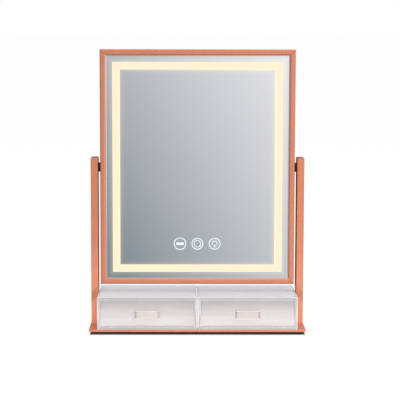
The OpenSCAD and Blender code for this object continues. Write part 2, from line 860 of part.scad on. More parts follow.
base_plate();
base_pad();
arm(LEFT);  // left_arm
arm(RIGHT);  // right_arm
arm_cap(LEFT);  // left_arm_cap
arm_cap(RIGHT);  // right_arm_cap
foot_block(LEFT);  // left_foot_block
foot_block(RIGHT);  // right_foot_block
arm_screws();
pivot_washer(LEFT);  // left_pivot_washer
pivot_washer(RIGHT);  // right_pivot_washer
pivot_bush(LEFT);  // left_pivot_bush
pivot_bush(RIGHT);  // right_pivot_bush
case_box(LEFT);  // left_case
case_box(RIGHT);  // right_case
frame_rail(180, frame_w, frame_h);  // frame_top
frame_rail(0, frame_w, frame_h);  // frame_bottom
frame_rail(90, frame_h, frame_w);  // frame_left
frame_rail(270, frame_h, frame_w);  // frame_right
corner_keys();
mirror_glass();
light_band();
light_diffuser();
light_channel();
led_strip_across(1);  // led_strip_top
led_strip_across(-1);  // led_strip_bottom
led_strip_upright(LEFT);  // led_strip_left
led_strip_upright(RIGHT);  // led_strip_right
led_chips();
back_cover();
back_screws();
pivot_block(LEFT);  // left_pivot_block
pivot_block(RIGHT);  // right_pivot_block
pivot_stud(LEFT);  // left_pivot_stud
pivot_stud(RIGHT);  // right_pivot_stud
spring_washer(LEFT);  // left_spring_washer
spring_washer(RIGHT);  // right_spring_washer
lock_nut(LEFT);  // left_lock_nut
lock_nut(RIGHT);  // right_lock_nut
control_board();
board_components();
board_standoffs();
touch_board();
touch_pads();
power_socket();
socket_pin();
power_leads();
touch_lead();
led_lead();
drawer(LEFT);  // left_drawer
pull(LEFT);  // left_pull
drawer(RIGHT);  // right_drawer
pull(RIGHT);  // right_pull
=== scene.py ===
"""Looks of a table-top vanity mirror with two clear drawers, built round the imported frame.

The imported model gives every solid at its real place, in metres, with +Z up and -Y to the front.
Each sub-assembly below is a class that dresses its own solids and adds the pieces too fine for the solids.
"""

from __future__ import annotations

import logging
import math
from dataclasses import dataclass
from enum import Enum
from typing import Callable, Sequence, Union

import bmesh
import bpy
from mathutils import Matrix, Vector


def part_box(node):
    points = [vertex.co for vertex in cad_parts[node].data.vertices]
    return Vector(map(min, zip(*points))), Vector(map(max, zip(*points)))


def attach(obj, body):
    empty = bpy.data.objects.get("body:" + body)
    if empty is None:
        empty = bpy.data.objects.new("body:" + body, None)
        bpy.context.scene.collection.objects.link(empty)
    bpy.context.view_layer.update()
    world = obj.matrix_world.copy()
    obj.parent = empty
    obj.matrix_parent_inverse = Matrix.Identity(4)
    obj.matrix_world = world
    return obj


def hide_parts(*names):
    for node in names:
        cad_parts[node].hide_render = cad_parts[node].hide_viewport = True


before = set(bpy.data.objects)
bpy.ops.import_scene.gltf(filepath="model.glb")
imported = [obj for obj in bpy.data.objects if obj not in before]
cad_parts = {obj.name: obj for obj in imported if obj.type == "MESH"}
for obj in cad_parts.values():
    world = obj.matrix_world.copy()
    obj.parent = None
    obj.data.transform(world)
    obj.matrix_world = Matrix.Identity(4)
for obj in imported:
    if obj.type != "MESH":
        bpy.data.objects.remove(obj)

Colour = tuple[float, float, float]
Point = tuple[float, float]
Span = tuple[float, float]
Ring = list[bmesh.types.BMVert]
Socket = bpy.types.NodeSocket
Sockets = dict[str, Socket]
Value = Union[Socket, float, Sequence[float]]

LOG = logging.getLogger("vanity_mirror")
MM = 0.001
WHITE: Colour = (1.0, 1.0, 1.0)
BLACK: Colour = (0.0, 0.0, 0.0)
DUST_COLOUR: Colour = (0.62, 0.58, 0.54)

# The head's middle, which the mirror turns about, and the front of its glass
PIVOT_HEIGHT = 274.0 * MM
GLASS_FRONT = -11.8 * MM


def srgb(red: float, green: float, blue: float) -> Colour:
    """Turns a colour as a screen shows it into the linear one that a shader works with.

    Args:
        red, green, blue: screen values from 0 to 255.

    Returns:
        The same colour as three linear values from 0 to 1.
    """

    def linear(value: float) -> float:
        """One channel, by the screen's standard curve."""
        part = value / 255
        return part / 12.92 if part <= 0.04045 else ((part + 0.055) / 1.055) ** 2.4

    return linear(red), linear(green), linear(blue)


def both(*names: str) -> list[str]:
    """The left and the right node of each name."""
    return [f"{side}_{name}" for name in names for side in ("left", "right")]


# ---------------------------------------------------------------- shader graph


class Graph:
    """Adds nodes to one shader tree and joins them."""

    def __init__(self, tree: bpy.types.NodeTree) -> None:
        """Keeps the tree that the nodes go into."""
        self.tree = tree
        self.coordinates: bpy.types.Node | None = None

    def feed(self, socket: Socket, value: Value) -> None:
        """Links a socket to another one, or sets its plain value.

        Args:
            socket: the input that is fed.
            value: an output to link, a number, or a vector or colour.
        """
        if isinstance(value, bpy.types.NodeSocket):
            self.tree.links.new(value, socket)
        elif isinstance(value, (int, float)):
            socket.default_value = value
        else:
            socket.default_value = (*value, 1.0)[: len(socket.default_value)]

    def node(self, kind: str, sockets: dict[str | int, Value] | None = None, **settings: object) -> bpy.types.Node:
        """Adds a node.

        Args:
            kind: the node's type without its "ShaderNode" start.
            sockets: what its inputs are fed with, by name or number.
            settings: plain settings of the node.

        Returns:
            The new node.
        """
        made = self.tree.nodes.new("ShaderNode" + kind)
        for key, value in settings.items():
            setattr(made, key, value)
        for key, value in (sockets or {}).items():
            self.feed(made.inputs[key], value)
        return made

    def math(self, operation: str, *values: Value, clamp: bool = False) -> Socket:
        """Adds one step of arithmetic and returns its result."""
        return self.node("Math", dict(enumerate(values)), operation=operation, use_clamp=clamp).outputs[0]

    def times(self, first: Value, second: Value, clamp: bool = False) -> Socket:
        """One number times another."""
        return self.math("MULTIPLY", first, second, clamp=clamp)

    def minus(self, first: Value, second: Value) -> Socket:
        """One number less another."""
        return self.math("SUBTRACT", first, second)

    def highest(self, first: Value, *others: Value) -> Socket:
        """The greatest of some numbers."""
        for other in others:
            first = self.math("MAXIMUM", first, other)
        return first

    def straight(self, value: Value, slope: float, start: Value, clamp: bool = False) -> Socket:
        """A number times a slope, added to a start."""
        return self.math("MULTIPLY_ADD", value, slope, start, clamp=clamp)

    def vector(self, operation: str, first: Value, second: Value) -> bpy.types.Node:
        """Adds one step of vector arithmetic and returns its node."""
        return self.node("VectorMath", {0: first, 1: second}, operation=operation)

    def scaled(self, colour: Value, level: Value) -> Socket:
        """A colour or vector times a number."""
        return self.node("VectorMath", {0: colour, "Scale": level}, operation="SCALE").outputs[0]

    def axes(self, vector: Socket) -> Sequence[Socket]:
        """A vector's three numbers."""
        return self.node("SeparateXYZ", {0: vector}).outputs

    def noise(self, place: Socket, scale: Value, detail: float, **more: float) -> Socket:
        """Adds noise and returns its height; more feeds its other inputs by name."""
        return self.node("TexNoise", {"Vector": place, "Scale": scale, "Detail": detail, **more}).outputs[0]

    def mix(self, factor: Value, first: Value, second: Value) -> Socket:
        """Mixes two colours; a factor of 0 gives the first and 1 the second."""
        made = self.node("Mix", data_type="RGBA", blend_type="MIX")
        for socket, value in zip((s for s in made.inputs if s.enabled), (factor, first, second)):
            self.feed(socket, value)
        return next(s for s in made.outputs if s.enabled)

    def spread(self, value: Socket, low: Value, high: Value, start: Value = 0.0, end: Value = 1.0) -> Socket:
        """Maps start..end of a value onto low..high, held at both ends."""
        return self.node("MapRange", dict(enumerate((value, start, end, low, high))), clamp=True).outputs[0]

    def surface(self, output: str) -> Socket:
        """A texture coordinate; its node is made once for each tree.

        Args:
            output: "Object" for the point on the surface in metres and "Normal" for the way it looks, both in the
                object's own frame, or "Generated" for the way that a ray of the world goes.

        Returns:
            The coordinate's socket.
        """
        if self.coordinates is None:
            self.coordinates = self.node("TexCoord")
        return self.coordinates.outputs[output]

    def bump(self, height: Socket, strength: float, distance: float) -> Socket:
        """Turns a height into a bent normal and returns it."""
        return self.node("Bump", {"Strength": strength, "Distance": distance, "Height": height}).outputs["Normal"]


@dataclass(frozen=True)
class Effect:
    """A surface effect that is built once as a node group and placed in many materials.

    An input is given by its default, a number or a vector, or by its kind where it is always fed.
    """

    name: str
    inputs: dict[str, float | tuple[float, ...] | str]
    outputs: tuple[str, ...]
    wire: Callable[[Graph, Sockets], Sockets]

    def tree(self) -> bpy.types.NodeTree:
        """The effect's node group, made on first use."""
        found = bpy.data.node_groups.get(self.name)
        if found:
            return found
        tree = bpy.data.node_groups.new(self.name, "ShaderNodeTree")
        for name, start in self.inputs.items():
            kind = start if isinstance(start, str) else "Float" if isinstance(start, float) else "Vector"
            made = tree.interface.new_socket(name, in_out="INPUT", socket_type="NodeSocket" + kind)
            if not isinstance(start, str):
                made.default_value = start
        for name in self.outputs:
            kind = "Color" if name == "Color" else "Float"
            tree.interface.new_socket(name, in_out="OUTPUT", socket_type="NodeSocket" + kind)
        entry, leave = tree.nodes.new("NodeGroupInput"), tree.nodes.new("NodeGroupOutput")
        wired = self.wire(Graph(tree), {s.name: s for s in entry.outputs if s.name})
        for name, socket in wired.items():
            tree.links.new(socket, leave.inputs[name])
        return tree

    def place(self, graph: Graph, **values: Value) -> Sockets:
        """Places the effect in a material, where it follows the surface unless it is told otherwise.

        Args:
            graph: the material's graph.
            values: what the inputs are fed with; an underscore stands for a space.

        Returns:
            The effect's outputs by name.
        """
        made = graph.tree.nodes.new("ShaderNodeGroup")
        made.node_tree = self.tree()
        for name, output in (("Vector", "Object"), ("Normal", "Normal")):
            if name in self.inputs:
                values.setdefault(name, graph.surface(output))
        for key, value in values.items():
            graph.feed(made.inputs[key.replace("_", " ")], value)
        return {s.name: s for s in made.outputs}

    def on(self, graph: Graph, **values: Value) -> Socket:
        """Places the effect in a material and returns its first output."""
        return self.place(graph, **values)[self.outputs[0]]


def wire_grain(graph: Graph, given: Sockets) -> Sockets:
    """Fine directional grain: noise on a stretched place."""
    place = graph.vector("MULTIPLY", given["Vector"], given["Stretch"]).outputs[0]
    return {"Height": graph.noise(place, given["Scale"], 5.0, Roughness=0.62)}


def wire_flakes(graph: Graph, given: Sockets) -> Sockets:
    """Metal flakes in a paint: every cell has its own brightness and its own lean."""
    cells = graph.node("TexVoronoi", {"Vector": given["Vector"], "Scale": given["Scale"]})
    parts = graph.node("SeparateColor", {0: cells.outputs["Color"]})
    return {"Glint": parts.outputs[0], "Lean": parts.outputs[1]}


def wire_tone(graph: Graph, given: Sockets) -> Sockets:
    """Slow drift of a colour over a surface, darker and lighter by the same amount."""
    noise = graph.noise(given["Vector"], given["Scale"], 2.0)
    swing = graph.times(graph.minus(noise, 0.5), given["Amount"])
    return {"Color": graph.scaled(given["Color"], graph.straight(swing, 2.0, 1.0))}


def wire_edges(graph: Graph, given: Sockets) -> Sockets:
    """Worn edges, and painted edge highlights on clear acrylic: where a rounded normal departs from the real one,
    broken up by noise.
    """
    rounded = graph.node("Bevel", {"Radius": given["Radius"]}, samples=4).outputs[0]
    real = graph.node("NewGeometry").outputs["Normal"]
    edge = graph.spread(graph.vector("DOT_PRODUCT", rounded, real).outputs["Value"], 1.0, 0.0, 0.72, 0.99)
    broken = graph.spread(graph.noise(given["Vector"], 160.0, 3.0), 0.35, 1.0, 0.3, 0.7)
    return {"Mask": graph.times(edge, broken, clamp=True)}


def wire_dust(graph: Graph, given: Sockets) -> Sockets:
    """A thin film of dust on faces that look up."""
    upward = graph.spread(graph.axes(graph.node("NewGeometry").outputs["Normal"])[2], 0.0, 1.0, 0.5, 1.0)
    patchy = graph.spread(graph.noise(given["Vector"], 90.0, 6.0), 0.2, 1.0, 0.35, 0.75)
    return {"Mask": graph.times(graph.times(upward, patchy), given["Amount"], clamp=True)}


def wire_smudges(graph: Graph, given: Sockets) -> Sockets:
    """Faint wiping marks and finger smudges as soft patches."""
    patch = graph.spread(graph.noise(given["Vector"], given["Scale"], 2.0, Distortion=1.2), 0.0, 1.0, 0.52, 0.7)
    fine = graph.noise(given["Vector"], 420.0, 4.0)
    return {"Mask": graph.times(graph.times(patch, fine), given["Amount"], clamp=True)}


def wire_scratches(graph: Graph, given: Sockets) -> Sockets:
    """Hairline scratches: thin level lines of a long-drawn noise."""
    place = graph.vector("MULTIPLY", given["Vector"], given["Stretch"]).outputs[0]
    away = graph.math("ABSOLUTE", graph.minus(graph.noise(place, given["Scale"], 2.0, Distortion=0.4), 0.5))
    return {"Mask": graph.spread(away, 1.0, 0.0, 0.0, 0.012)}


def wire_border(graph: Graph, given: Sockets) -> Sockets:
    """How near a point is to an upright rectangle's border, from inside and from outside."""
    parts = graph.axes(given["Vector"])
    side = graph.minus(graph.math("ABSOLUTE", parts[0]), given["Half Width"])
    rise = graph.minus(parts[2], given["Centre Height"])
    top = graph.minus(graph.math("ABSOLUTE", rise), given["Half Height"])
    gap = graph.math("DIVIDE", graph.highest(side, top), given["Reach"])

    def fade(distance: Socket) -> Socket:
        """Falls off with the distance, and is nothing behind the border."""
        ahead = graph.math("GREATER_THAN", distance, 0.0)
        return graph.times(ahead, graph.math("POWER", math.exp(-1), distance))

    return {"Outside": fade(gap), "Inside": fade(graph.times(gap, -1.0))}


def wire_facing(graph: Graph, given: Sockets) -> Sockets:
    """Which faces look along an axis, in the object's own frame."""
    dot = graph.vector("DOT_PRODUCT", given["Normal"], given["Axis"]).outputs["Value"]
    return {"Mask": graph.spread(dot, 0.0, 1.0, given["From"], given["To"])}


UP = (0.0, 0.0, 1.0)
EVENLY = (1.0, 1.0, 1.0)
PLACE = {"Vector": "Vector"}
GRAIN = Effect("FineGrain", {**PLACE, "Scale": 900.0, "Stretch": EVENLY}, ("Height",), wire_grain)
FLAKES = Effect("PaintFlakes", {**PLACE, "Scale": 2400.0}, ("Glint", "Lean"), wire_flakes)
TONE = Effect("ToneDrift", {**PLACE, "Color": "Color", "Scale": 6.0, "Amount": 0.05}, ("Color",), wire_tone)
EDGE_WEAR_AND_HIGHLIGHT = Effect("EdgeWear", {**PLACE, "Radius": 0.6 * MM}, ("Mask",), wire_edges)
DUST = Effect("DustFilm", {**PLACE, "Amount": 0.1}, ("Mask",), wire_dust)
SMUDGES = Effect("Smudges", {**PLACE, "Scale": 14.0, "Amount": 1.0}, ("Mask",), wire_smudges)
SCRATCHES = Effect("HairScratches", {**PLACE, "Scale": 60.0, "Stretch": EVENLY}, ("Mask",), wire_scratches)
FACING = Effect("FacingMask", {"Normal": "Vector", "Axis": UP, "From": 0.4, "To": 0.9}, ("Mask",), wire_facing)
BORDER = Effect(
    "PanelBorder",
    {**PLACE, "Centre Height": 0.0, "Half Width": 0.1, "Half Height": 0.1, "Reach": 0.003},
    ("Outside", "Inside"),
    wire_border,
)


# ---------------------------------------------------------------- shapes


class Shape:
    """Gathers the faces of one new piece, in metres."""

    def __init__(self) -> None:
        """Starts with no faces."""
        self.mesh = bmesh.new()

    def ring(self, points: Sequence[Vector]) -> Ring:
        """Adds one vertex for each point."""
        return [self.mesh.verts.new(p) for p in points]

    def loft(self, rings: Sequence[Ring], closed: bool = True) -> None:
        """Joins each ring to the next by quads.

        Args:
            rings: rings of the same length.
            closed: whether the last point of a ring joins its first.
        """
        for first, second in zip(rings, rings[1:]):
            count = len(first)
            for i in range(count if closed else count - 1):
                j = (i + 1) % count
                self.mesh.faces.new((first[i], first[j], second[j], second[i]))

    def fill(self, ring: Ring) -> None:
        """Closes a ring by one face."""
        self.mesh.faces.new(ring)

    def finish(self, name: str) -> bpy.types.Object:
        """Turns what was gathered into an object of the scene, at the origin and with flat shading."""
        bmesh.ops.recalc_face_normals(self.mesh, faces=self.mesh.faces)
        data = bpy.data.meshes.new(name)
        self.mesh.to_mesh(data)
        self.mesh.free()
        made = bpy.data.objects.new(name, data)
        bpy.context.scene.collection.objects.link(made)
        return made


@dataclass(frozen=True)
class Upright:
    """An upright rectangle about the head's middle, by its half width and half height in metres."""

    half_width: float
    half_height: float

    def corners(self, inward: float) -> list[Point]:
        """The corners of the rectangle drawn in by a distance, as steps from its middle."""
        across, up = self.half_width - inward, self.half_height - inward
        return [(-across, -up), (across, -up), (across, up), (-across, up)]

    def ring(self, shape: Shape, inward: float, level: float) -> Ring:
        """Adds those corners to a shape, at a level across the depth."""
        return shape.ring([Vector((x, level, PIVOT_HEIGHT + z)) for x, z in self.corners(inward)])

    def border(self, graph: Graph, reach: float) -> Sockets:
        """How near the surface is to the rectangle's border, from outside and from inside."""
        return BORDER.place(
            graph, Centre_Height=PIVOT_HEIGHT, Half_Width=self.half_width, Half_Height=self.half_height, Reach=reach
        )


HEAD_OUTLINE = Upright(164.0 * MM, 198.5 * MM)
GLASS_OPENING = Upright(154.15 * MM, 188.65 * MM)
BAND_OUTER = Upright(144.5 * MM, 179.0 * MM)
BAND_INNER = Upright(130.5 * MM, 165.0 * MM)


def arc(centre: Point, radius: float, start: float, end: float, steps: int) -> list[Point]:
    """Points on a circle from one angle to another, in degrees."""
    angles = [math.radians(start + (end - start) * i / steps) for i in range(steps + 1)]
    return [(centre[0] + radius * math.cos(a), centre[1] + radius * math.sin(a)) for a in angles]


def rounded_outline(half: Point, radius: float, steps: int = 6) -> list[Point]:
    """Points on a rectangle with rounded corners, about the origin.

    Args:
        half: its half width and half height.
        radius: its corners' radius.
        steps: pieces in each corner.

    Returns:
        The points in order.
    """
    across, up = half[0] - radius, half[1] - radius
    quarters = ((across, up, 0), (-across, up, 90), (-across, -up, 180), (across, -up, 270))
    return [point for x, z, start in quarters for point in arc((x, z), radius, start, start + 90, steps)]


def beside(points: Sequence[Point], distance: float, closed: bool) -> list[Point]:
    """A line's points moved sideways.

    Args:
        points: the line.
        distance: how far they move, to the left of the way along.
        closed: whether the line joins up.

    Returns:
        The moved points.
    """
    count, moved = len(points), []
    for i, (x, z) in enumerate(points):
        before = points[(i - 1) % count] if closed or i else points[i]
        after = points[(i + 1) % count] if closed or i < count - 1 else points[i]
        along = Vector((after[0] - before[0], after[1] - before[1])).normalized()
        moved.append((x - along.y * distance, z + along.x * distance))
    return moved


@dataclass(frozen=True)
class Screw:
    """A cross-recess screw, its sizes in metres; its head is a flat one on a cone, or else a low dome."""

    head_radius: float
    head_height: float
    shank_radius: float
    countersunk: bool
    dome: float = 0.34
    recess_depth: float = 0.55
    recess_reach: float = 0.62
    recess_half: float = 0.15
    recess_edge: float = 0.05
    recess_rise: float = 0.35
    hub: float = 0.02
    circles: int = 18
    segments: int = 48

    def lift(self, part: float, angle: float) -> float:
        """The height of the head's top at a part of its radius and at an angle."""
        radius = self.head_radius

        def inside(value: float, edge: float) -> float:
            """1 within an edge and 0 beyond it, with a short slope between."""
            return min(1.0, max(0.0, (edge - value) / (radius * self.recess_edge) + 0.5))

        x, y = abs(part * radius * math.cos(angle)), abs(part * radius * math.sin(angle))
        arm, slot = radius * self.recess_reach, radius * self.recess_half
        cross = max(inside(x, slot) * inside(y, arm), inside(y, slot) * inside(x, arm))
        top = self.head_height * (1 if self.countersunk else 1 - self.dome * part**3)
        return top - self.head_height * self.recess_depth * cross * (1 - self.recess_rise * part)

    def drive(self, shape: Shape, place: Matrix, length: float) -> None:
        """Adds the screw to a shape.

        Args:
            shape: what the faces go into.
            place: where the screw goes; local +Z points out of the head.
            length: the shank's length below the head.
        """

        def ring(part: float, level: float | None) -> Ring:
            """A circle at a part of the head's radius, on the head's top or at a level."""
            out = part * self.head_radius
            angles = [2 * math.pi * i / self.segments for i in range(self.segments)]
            rises = [self.lift(part, a) if level is None else level for a in angles]
            return shape.ring(
                [place @ Vector((out * math.cos(a), out * math.sin(a), rise)) for a, rise in zip(angles, rises)]
            )

        neck = self.shank_radius / self.head_radius
        rings = [ring(self.hub + (1 - self.hub) * i / self.circles, None) for i in range(self.circles + 1)]
        if not self.countersunk:
            rings.append(ring(1.0, 0.0))
        rings += [ring(neck, 0.0), ring(neck, -length)]
        shape.fill(rings[0])
        shape.loft(rings)
        shape.fill(rings[-1])


def solids_of(node: str, reach: float = 6 * MM) -> list[tuple[Vector, Vector]]:
    """The boxes of a CAD node's separate solids.

    Args:
        node: the node's name.
        reach: points nearer than this to a solid's box, in metres, belong to it.

    Returns:
        The lowest and highest corner of each.
    """
    boxes: list[tuple[Vector, Vector]] = []
    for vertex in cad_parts[node].data.vertices:
        point = vertex.co
        for i, (low, high) in enumerate(boxes):
            if all(low[k] - reach < point[k] < high[k] + reach for k in range(3)):
                boxes[i] = Vector(map(min, low, point)), Vector(map(max, high, point))
                break
        else:
            boxes.append((point.copy(), point.copy()))
    return boxes


# ---------------------------------------------------------------- finishes


class Grain(Enum):
    """Which way a finish's grain runs; a low number draws it out along that axis."""

    EVEN = EVENLY
    ACROSS = (0.05, 1.0, 1.0)
    UPRIGHT = (1.0, 1.0, 0.05)


@dataclass(frozen=True)
class Finish:
    """What every finish has; a kind of finish adds its own way to shade."""

    name: str
    slot: str
    colour: Colour
    roughness: float

    def material(self) -> bpy.types.Material:
        """The finish's material, made on first use."""
        found = bpy.data.materials.get(self.name)
        if found:
            return found
        made = bpy.data.materials.new(self.name)
        made.use_nodes = True
        made.diffuse_color = (*self.colour, 1.0)
        graph, shader = Graph(made.node_tree), made.node_tree.nodes["Principled BSDF"]
        shader.inputs["Roughness"].default_value = self.roughness
        for name, value in self.shade(graph).items():
            graph.feed(shader.inputs[name], value)
        self.cover(graph, shader)
        return made

    def shade(self, graph: Graph) -> dict[str, Value]:
        """What the shader's inputs are fed with; every kind of finish has its own."""
        raise NotImplementedError(self.name)

    def cover(self, graph: Graph, shader: bpy.types.Node) -> None:
        """Adds what goes round the shader; most finishes need nothing."""

    def aged_colour(self, graph: Graph, drift: float, dust: float) -> Socket:
        """The base colour with a slow drift of tone and a film of dust on top.

        Args:
            graph: the material's graph.
            drift: how far the tone drifts, as a part of the colour.
            dust: how much dust lies on upward faces.

        Returns:
            The colour's socket.
        """
        toned = TONE.on(graph, Color=self.colour, Amount=drift)
        return graph.mix(DUST.on(graph, Amount=dust), toned, DUST_COLOUR)

    def uneven_roughness(self, graph: Graph, *marks: tuple[Socket, float]) -> Value:
        """The roughness raised by marks, each a mask and how much it adds at full strength."""
        level: Value = self.roughness
        for mask, gain in marks:
            if gain:
                level = graph.math("MULTIPLY_ADD", mask, gain, level, clamp=True)
        return level


@dataclass(frozen=True)
class Layer:
    """Painted light or shade laid over part of a paint, as a second colour."""

    # By default a dark painted shade
    colour: Colour = (0.16, 0.05, 0.025)
    share: float = 0.8

    def mask(self, graph: Graph) -> Socket:
        """Where the layer lies; every kind of layer has its own."""
        raise NotImplementedError(type(self).__name__)

    def over(self, graph: Graph, below: Socket) -> Socket:
        """The colour below with this layer on it."""
        return graph.mix(graph.times(self.mask(graph), self.share), below, self.colour)


@dataclass(frozen=True)
class FacingLayer(Layer):
    """Painted shade on the faces that look along an axis, such as the bevels on the shaded side."""

    axis: Colour = (-0.5, -0.707, -0.5)
    turn: Span = (0.75, 0.82)

    def mask(self, graph: Graph) -> Socket:
        """How far a face looks along the axis."""
        return FACING.on(graph, Axis=self.axis, From=self.turn[0], To=self.turn[1])


@dataclass(frozen=True)
class BorderLayer(Layer):
    """Painted shade close inside the head's outline."""

    reach: float = 1.6 * MM

    def mask(self, graph: Graph) -> Socket:
        """How near the surface is to the outline."""
        return HEAD_OUTLINE.border(graph, self.reach)["Inside"]


@dataclass(frozen=True)
class FootLayer(Layer):
    """Painted light: the pale light that the clear cases throw on a post's foot, up to a slant at their roofs' height.
    """

    colour: Colour = (1.0, 0.375, 0.215)
    inner_side: float = 168.0 * MM
    roof_height: float = 61.0 * MM
    below_fade: float = 9.0 * MM
    slant: Span = (9.0 * MM, 15.0 * MM)
    above_fade: Span = (45.0 * MM, 100.0 * MM)
    above_share: float = 0.42

    def mask(self, graph: Graph) -> Socket:
        """Full under the slant, none on it, and a weaker light over it that fades upwards."""
        parts, roof = graph.axes(graph.surface("Object")), self.roof_height
        aside = graph.minus(graph.math("ABSOLUTE", parts[0]), self.inner_side)
        level = graph.math("ADD", parts[2], aside)
        rising = graph.spread(level, self.above_share, 0.0, *(roof + step for step in self.above_fade))
        above = graph.spread(level, 0.0, 1.0, *(roof + step for step in self.slant))
        below = graph.spread(level, 1.0, 0.0, roof - self.below_fade, roof)
        return graph.math("ADD", graph.times(rising, above), below)


@dataclass(frozen=True)
class WornFinish(Finish):
    """A solid surface with fine grain, worn edges, smudges and dust; some kinds glow: the diffuser and chips as lit
    parts, clear edges and etched symbols as painted light.
    """

    grain_scale: float = 1800.0
    depth: float = 0.03 * MM
    edge_share: float = 0.12
    dust: float = 0.12
    glow: float = 0.0
    grain: Grain = Grain.EVEN
    grain_gain: float = 0.15
    bump: float = 0.5
    drift: float = 0.06
    edge_radius: float = 0.5 * MM
    edge_colour: Colour = DUST_COLOUR
    edge_gain: float = 0.0
    smudge_scale: float = 40.0
    smudge_gain: float = 0.12
    metallic: float = 0.0
    glow_dimmed: float = 0.92

    def shade(self, graph: Graph) -> dict[str, Value]:
        """Colour by drift, dust and edges; gloss by grain, smudges and edges."""
        grain = GRAIN.on(graph, Scale=self.grain_scale, Stretch=self.grain.value)
        edge = EDGE_WEAR_AND_HIGHLIGHT.on(graph, Radius=self.edge_radius)
        smudge = SMUDGES.on(graph, Scale=self.smudge_scale)
        base = self.aged_colour(graph, self.drift, self.dust)
        marks = ((grain, self.grain_gain), (smudge, self.smudge_gain), (edge, self.edge_gain))
        given = {
            "Base Color": graph.mix(graph.times(edge, self.edge_share), base, self.edge_colour),
            "Roughness": self.uneven_roughness(graph, *marks),
            "Metallic": self.metallic,
            "Normal": graph.bump(grain, self.bump, self.depth),
        }
        # The glow is painted light on the clear edges and the etched symbols
        if self.glow:
            given["Emission Color"] = graph.scaled(base, graph.spread(grain, self.glow_dimmed, 1.0))
            given["Emission Strength"] = self.glow
        return given


@dataclass(frozen=True)
class MouldedPlastic(WornFinish):
    """Moulded plastic or rubber: fine spark-eroded texture, with dust on top and paler edges."""


@dataclass(frozen=True)
class BareMetal(WornFinish):
    """Plated or machined metal: fine turning marks, stains and bright edges."""

    grain_scale: float = 2600.0
    depth: float = 0.02 * MM
    edge_share: float = 0.6
    dust: float = 0.08
    grain_gain: float = 0.16
    bump: float = 0.25
    drift: float = 0.10
    edge_radius: float = 0.4 * MM
    edge_colour: Colour = (0.82, 0.83, 0.84)
    edge_gain: float = -0.10
    smudge_scale: float = 60.0
    smudge_gain: float = 0.25
    metallic: float = 1.0


@dataclass(frozen=True)
class SatinPaint(WornFinish):
    """Rose-gold metal paint: satin, with fine flakes, brushed along the piece, worn on its edges, and with painted
    light and shade laid over it where given.
    """

    grain_scale: float = 1400.0
    edge_share: float = 0.45
    dust: float = 0.10
    grain_gain: float = 0.10
    bump: float = 0.18
    drift: float = 0.035
    edge_radius: float = 0.7 * MM
    edge_colour: Colour = (0.86, 0.48, 0.34)
    edge_gain: float = -0.08
    smudge_scale: float = 14.0
    smudge_gain: float = 0.10
    metallic: float = 0.4
    scratch_gain: float = 0.05
    scratch_depth: float = 0.3
    flake_gain: float = 0.10
    flake_depth: float = 0.35
    coat: float = 0.12
    coat_roughness: float = 0.18
    layers: tuple[Layer, ...] = ()

    def shade(self, graph: Graph) -> dict[str, Value]:
        """Colour by drift, flakes, wear, dust and layers of painted light and shade; gloss by grain, smudges and
        flakes.
        """
        grain = GRAIN.on(graph, Scale=self.grain_scale, Stretch=self.grain.value)
        flakes = FLAKES.place(graph)
        edge = EDGE_WEAR_AND_HIGHLIGHT.on(graph, Radius=self.edge_radius)
        smudge = SMUDGES.on(graph, Scale=self.smudge_scale)
        scratch = SCRATCHES.on(graph, Stretch=self.grain.value)
        glint = graph.spread(flakes["Glint"], 1.0 - self.flake_gain, 1.0 + self.flake_gain)
        flaked = graph.scaled(self.aged_colour(graph, self.drift, self.dust), glint)
        colour = graph.mix(graph.times(edge, self.edge_share), flaked, self.edge_colour)
        # Painted light and shade laid over the paint
        for layer in self.layers:
            colour = layer.over(graph, colour)
        marks = ((grain, self.grain_gain), (smudge, self.smudge_gain), (edge, self.edge_gain))
        scratched = graph.minus(grain, graph.times(scratch, self.scratch_depth))
        height = graph.math("MULTIPLY_ADD", flakes["Lean"], self.flake_depth, scratched)
        return {
            "Base Color": colour,
            "Roughness": self.uneven_roughness(graph, *marks, (scratch, self.scratch_gain)),
            "Metallic": self.metallic,
            "Coat Weight": self.coat,
            "Coat Roughness": self.coat_roughness,
            "Normal": graph.bump(height, self.bump, self.depth),
        }


@dataclass(frozen=True)
class CircuitLaminate(Finish):
    """Circuit board: solder mask over a weave, with tracks that show as a paler tone."""

    track: Colour = (0.05, 0.30, 0.13)
    track_scale: float = 260.0
    track_edge: Span = (0.30, 0.36)
    track_share: float = 0.5
    weave_scale: float = 1500.0
    weave_gain: float = 0.15
    drift: float = 0.08
    dust: float = 0.08
    bump: float = 0.4
    depth: float = 0.04 * MM

    def shade(self, graph: Graph) -> dict[str, Value]:
        """Colour by tracks and dust; height by weave and tracks."""
        sockets = {"Vector": graph.surface("Object"), "Scale": self.track_scale}
        cells = graph.node("TexVoronoi", sockets, distance="CHEBYCHEV")
        track = graph.spread(cells.outputs["Distance"], 1.0, 0.0, *self.track_edge)
        weave = GRAIN.on(graph, Scale=self.weave_scale)
        base = self.aged_colour(graph, self.drift, self.dust)
        height = graph.math("MULTIPLY_ADD", track, self.track_share, graph.times(weave, 1.0 - self.track_share))
        return {
            "Base Color": graph.mix(graph.times(track, self.track_share), base, self.track),
            "Roughness": self.uneven_roughness(graph, (weave, self.weave_gain)),
            "Normal": graph.bump(height, self.bump, self.depth),
        }


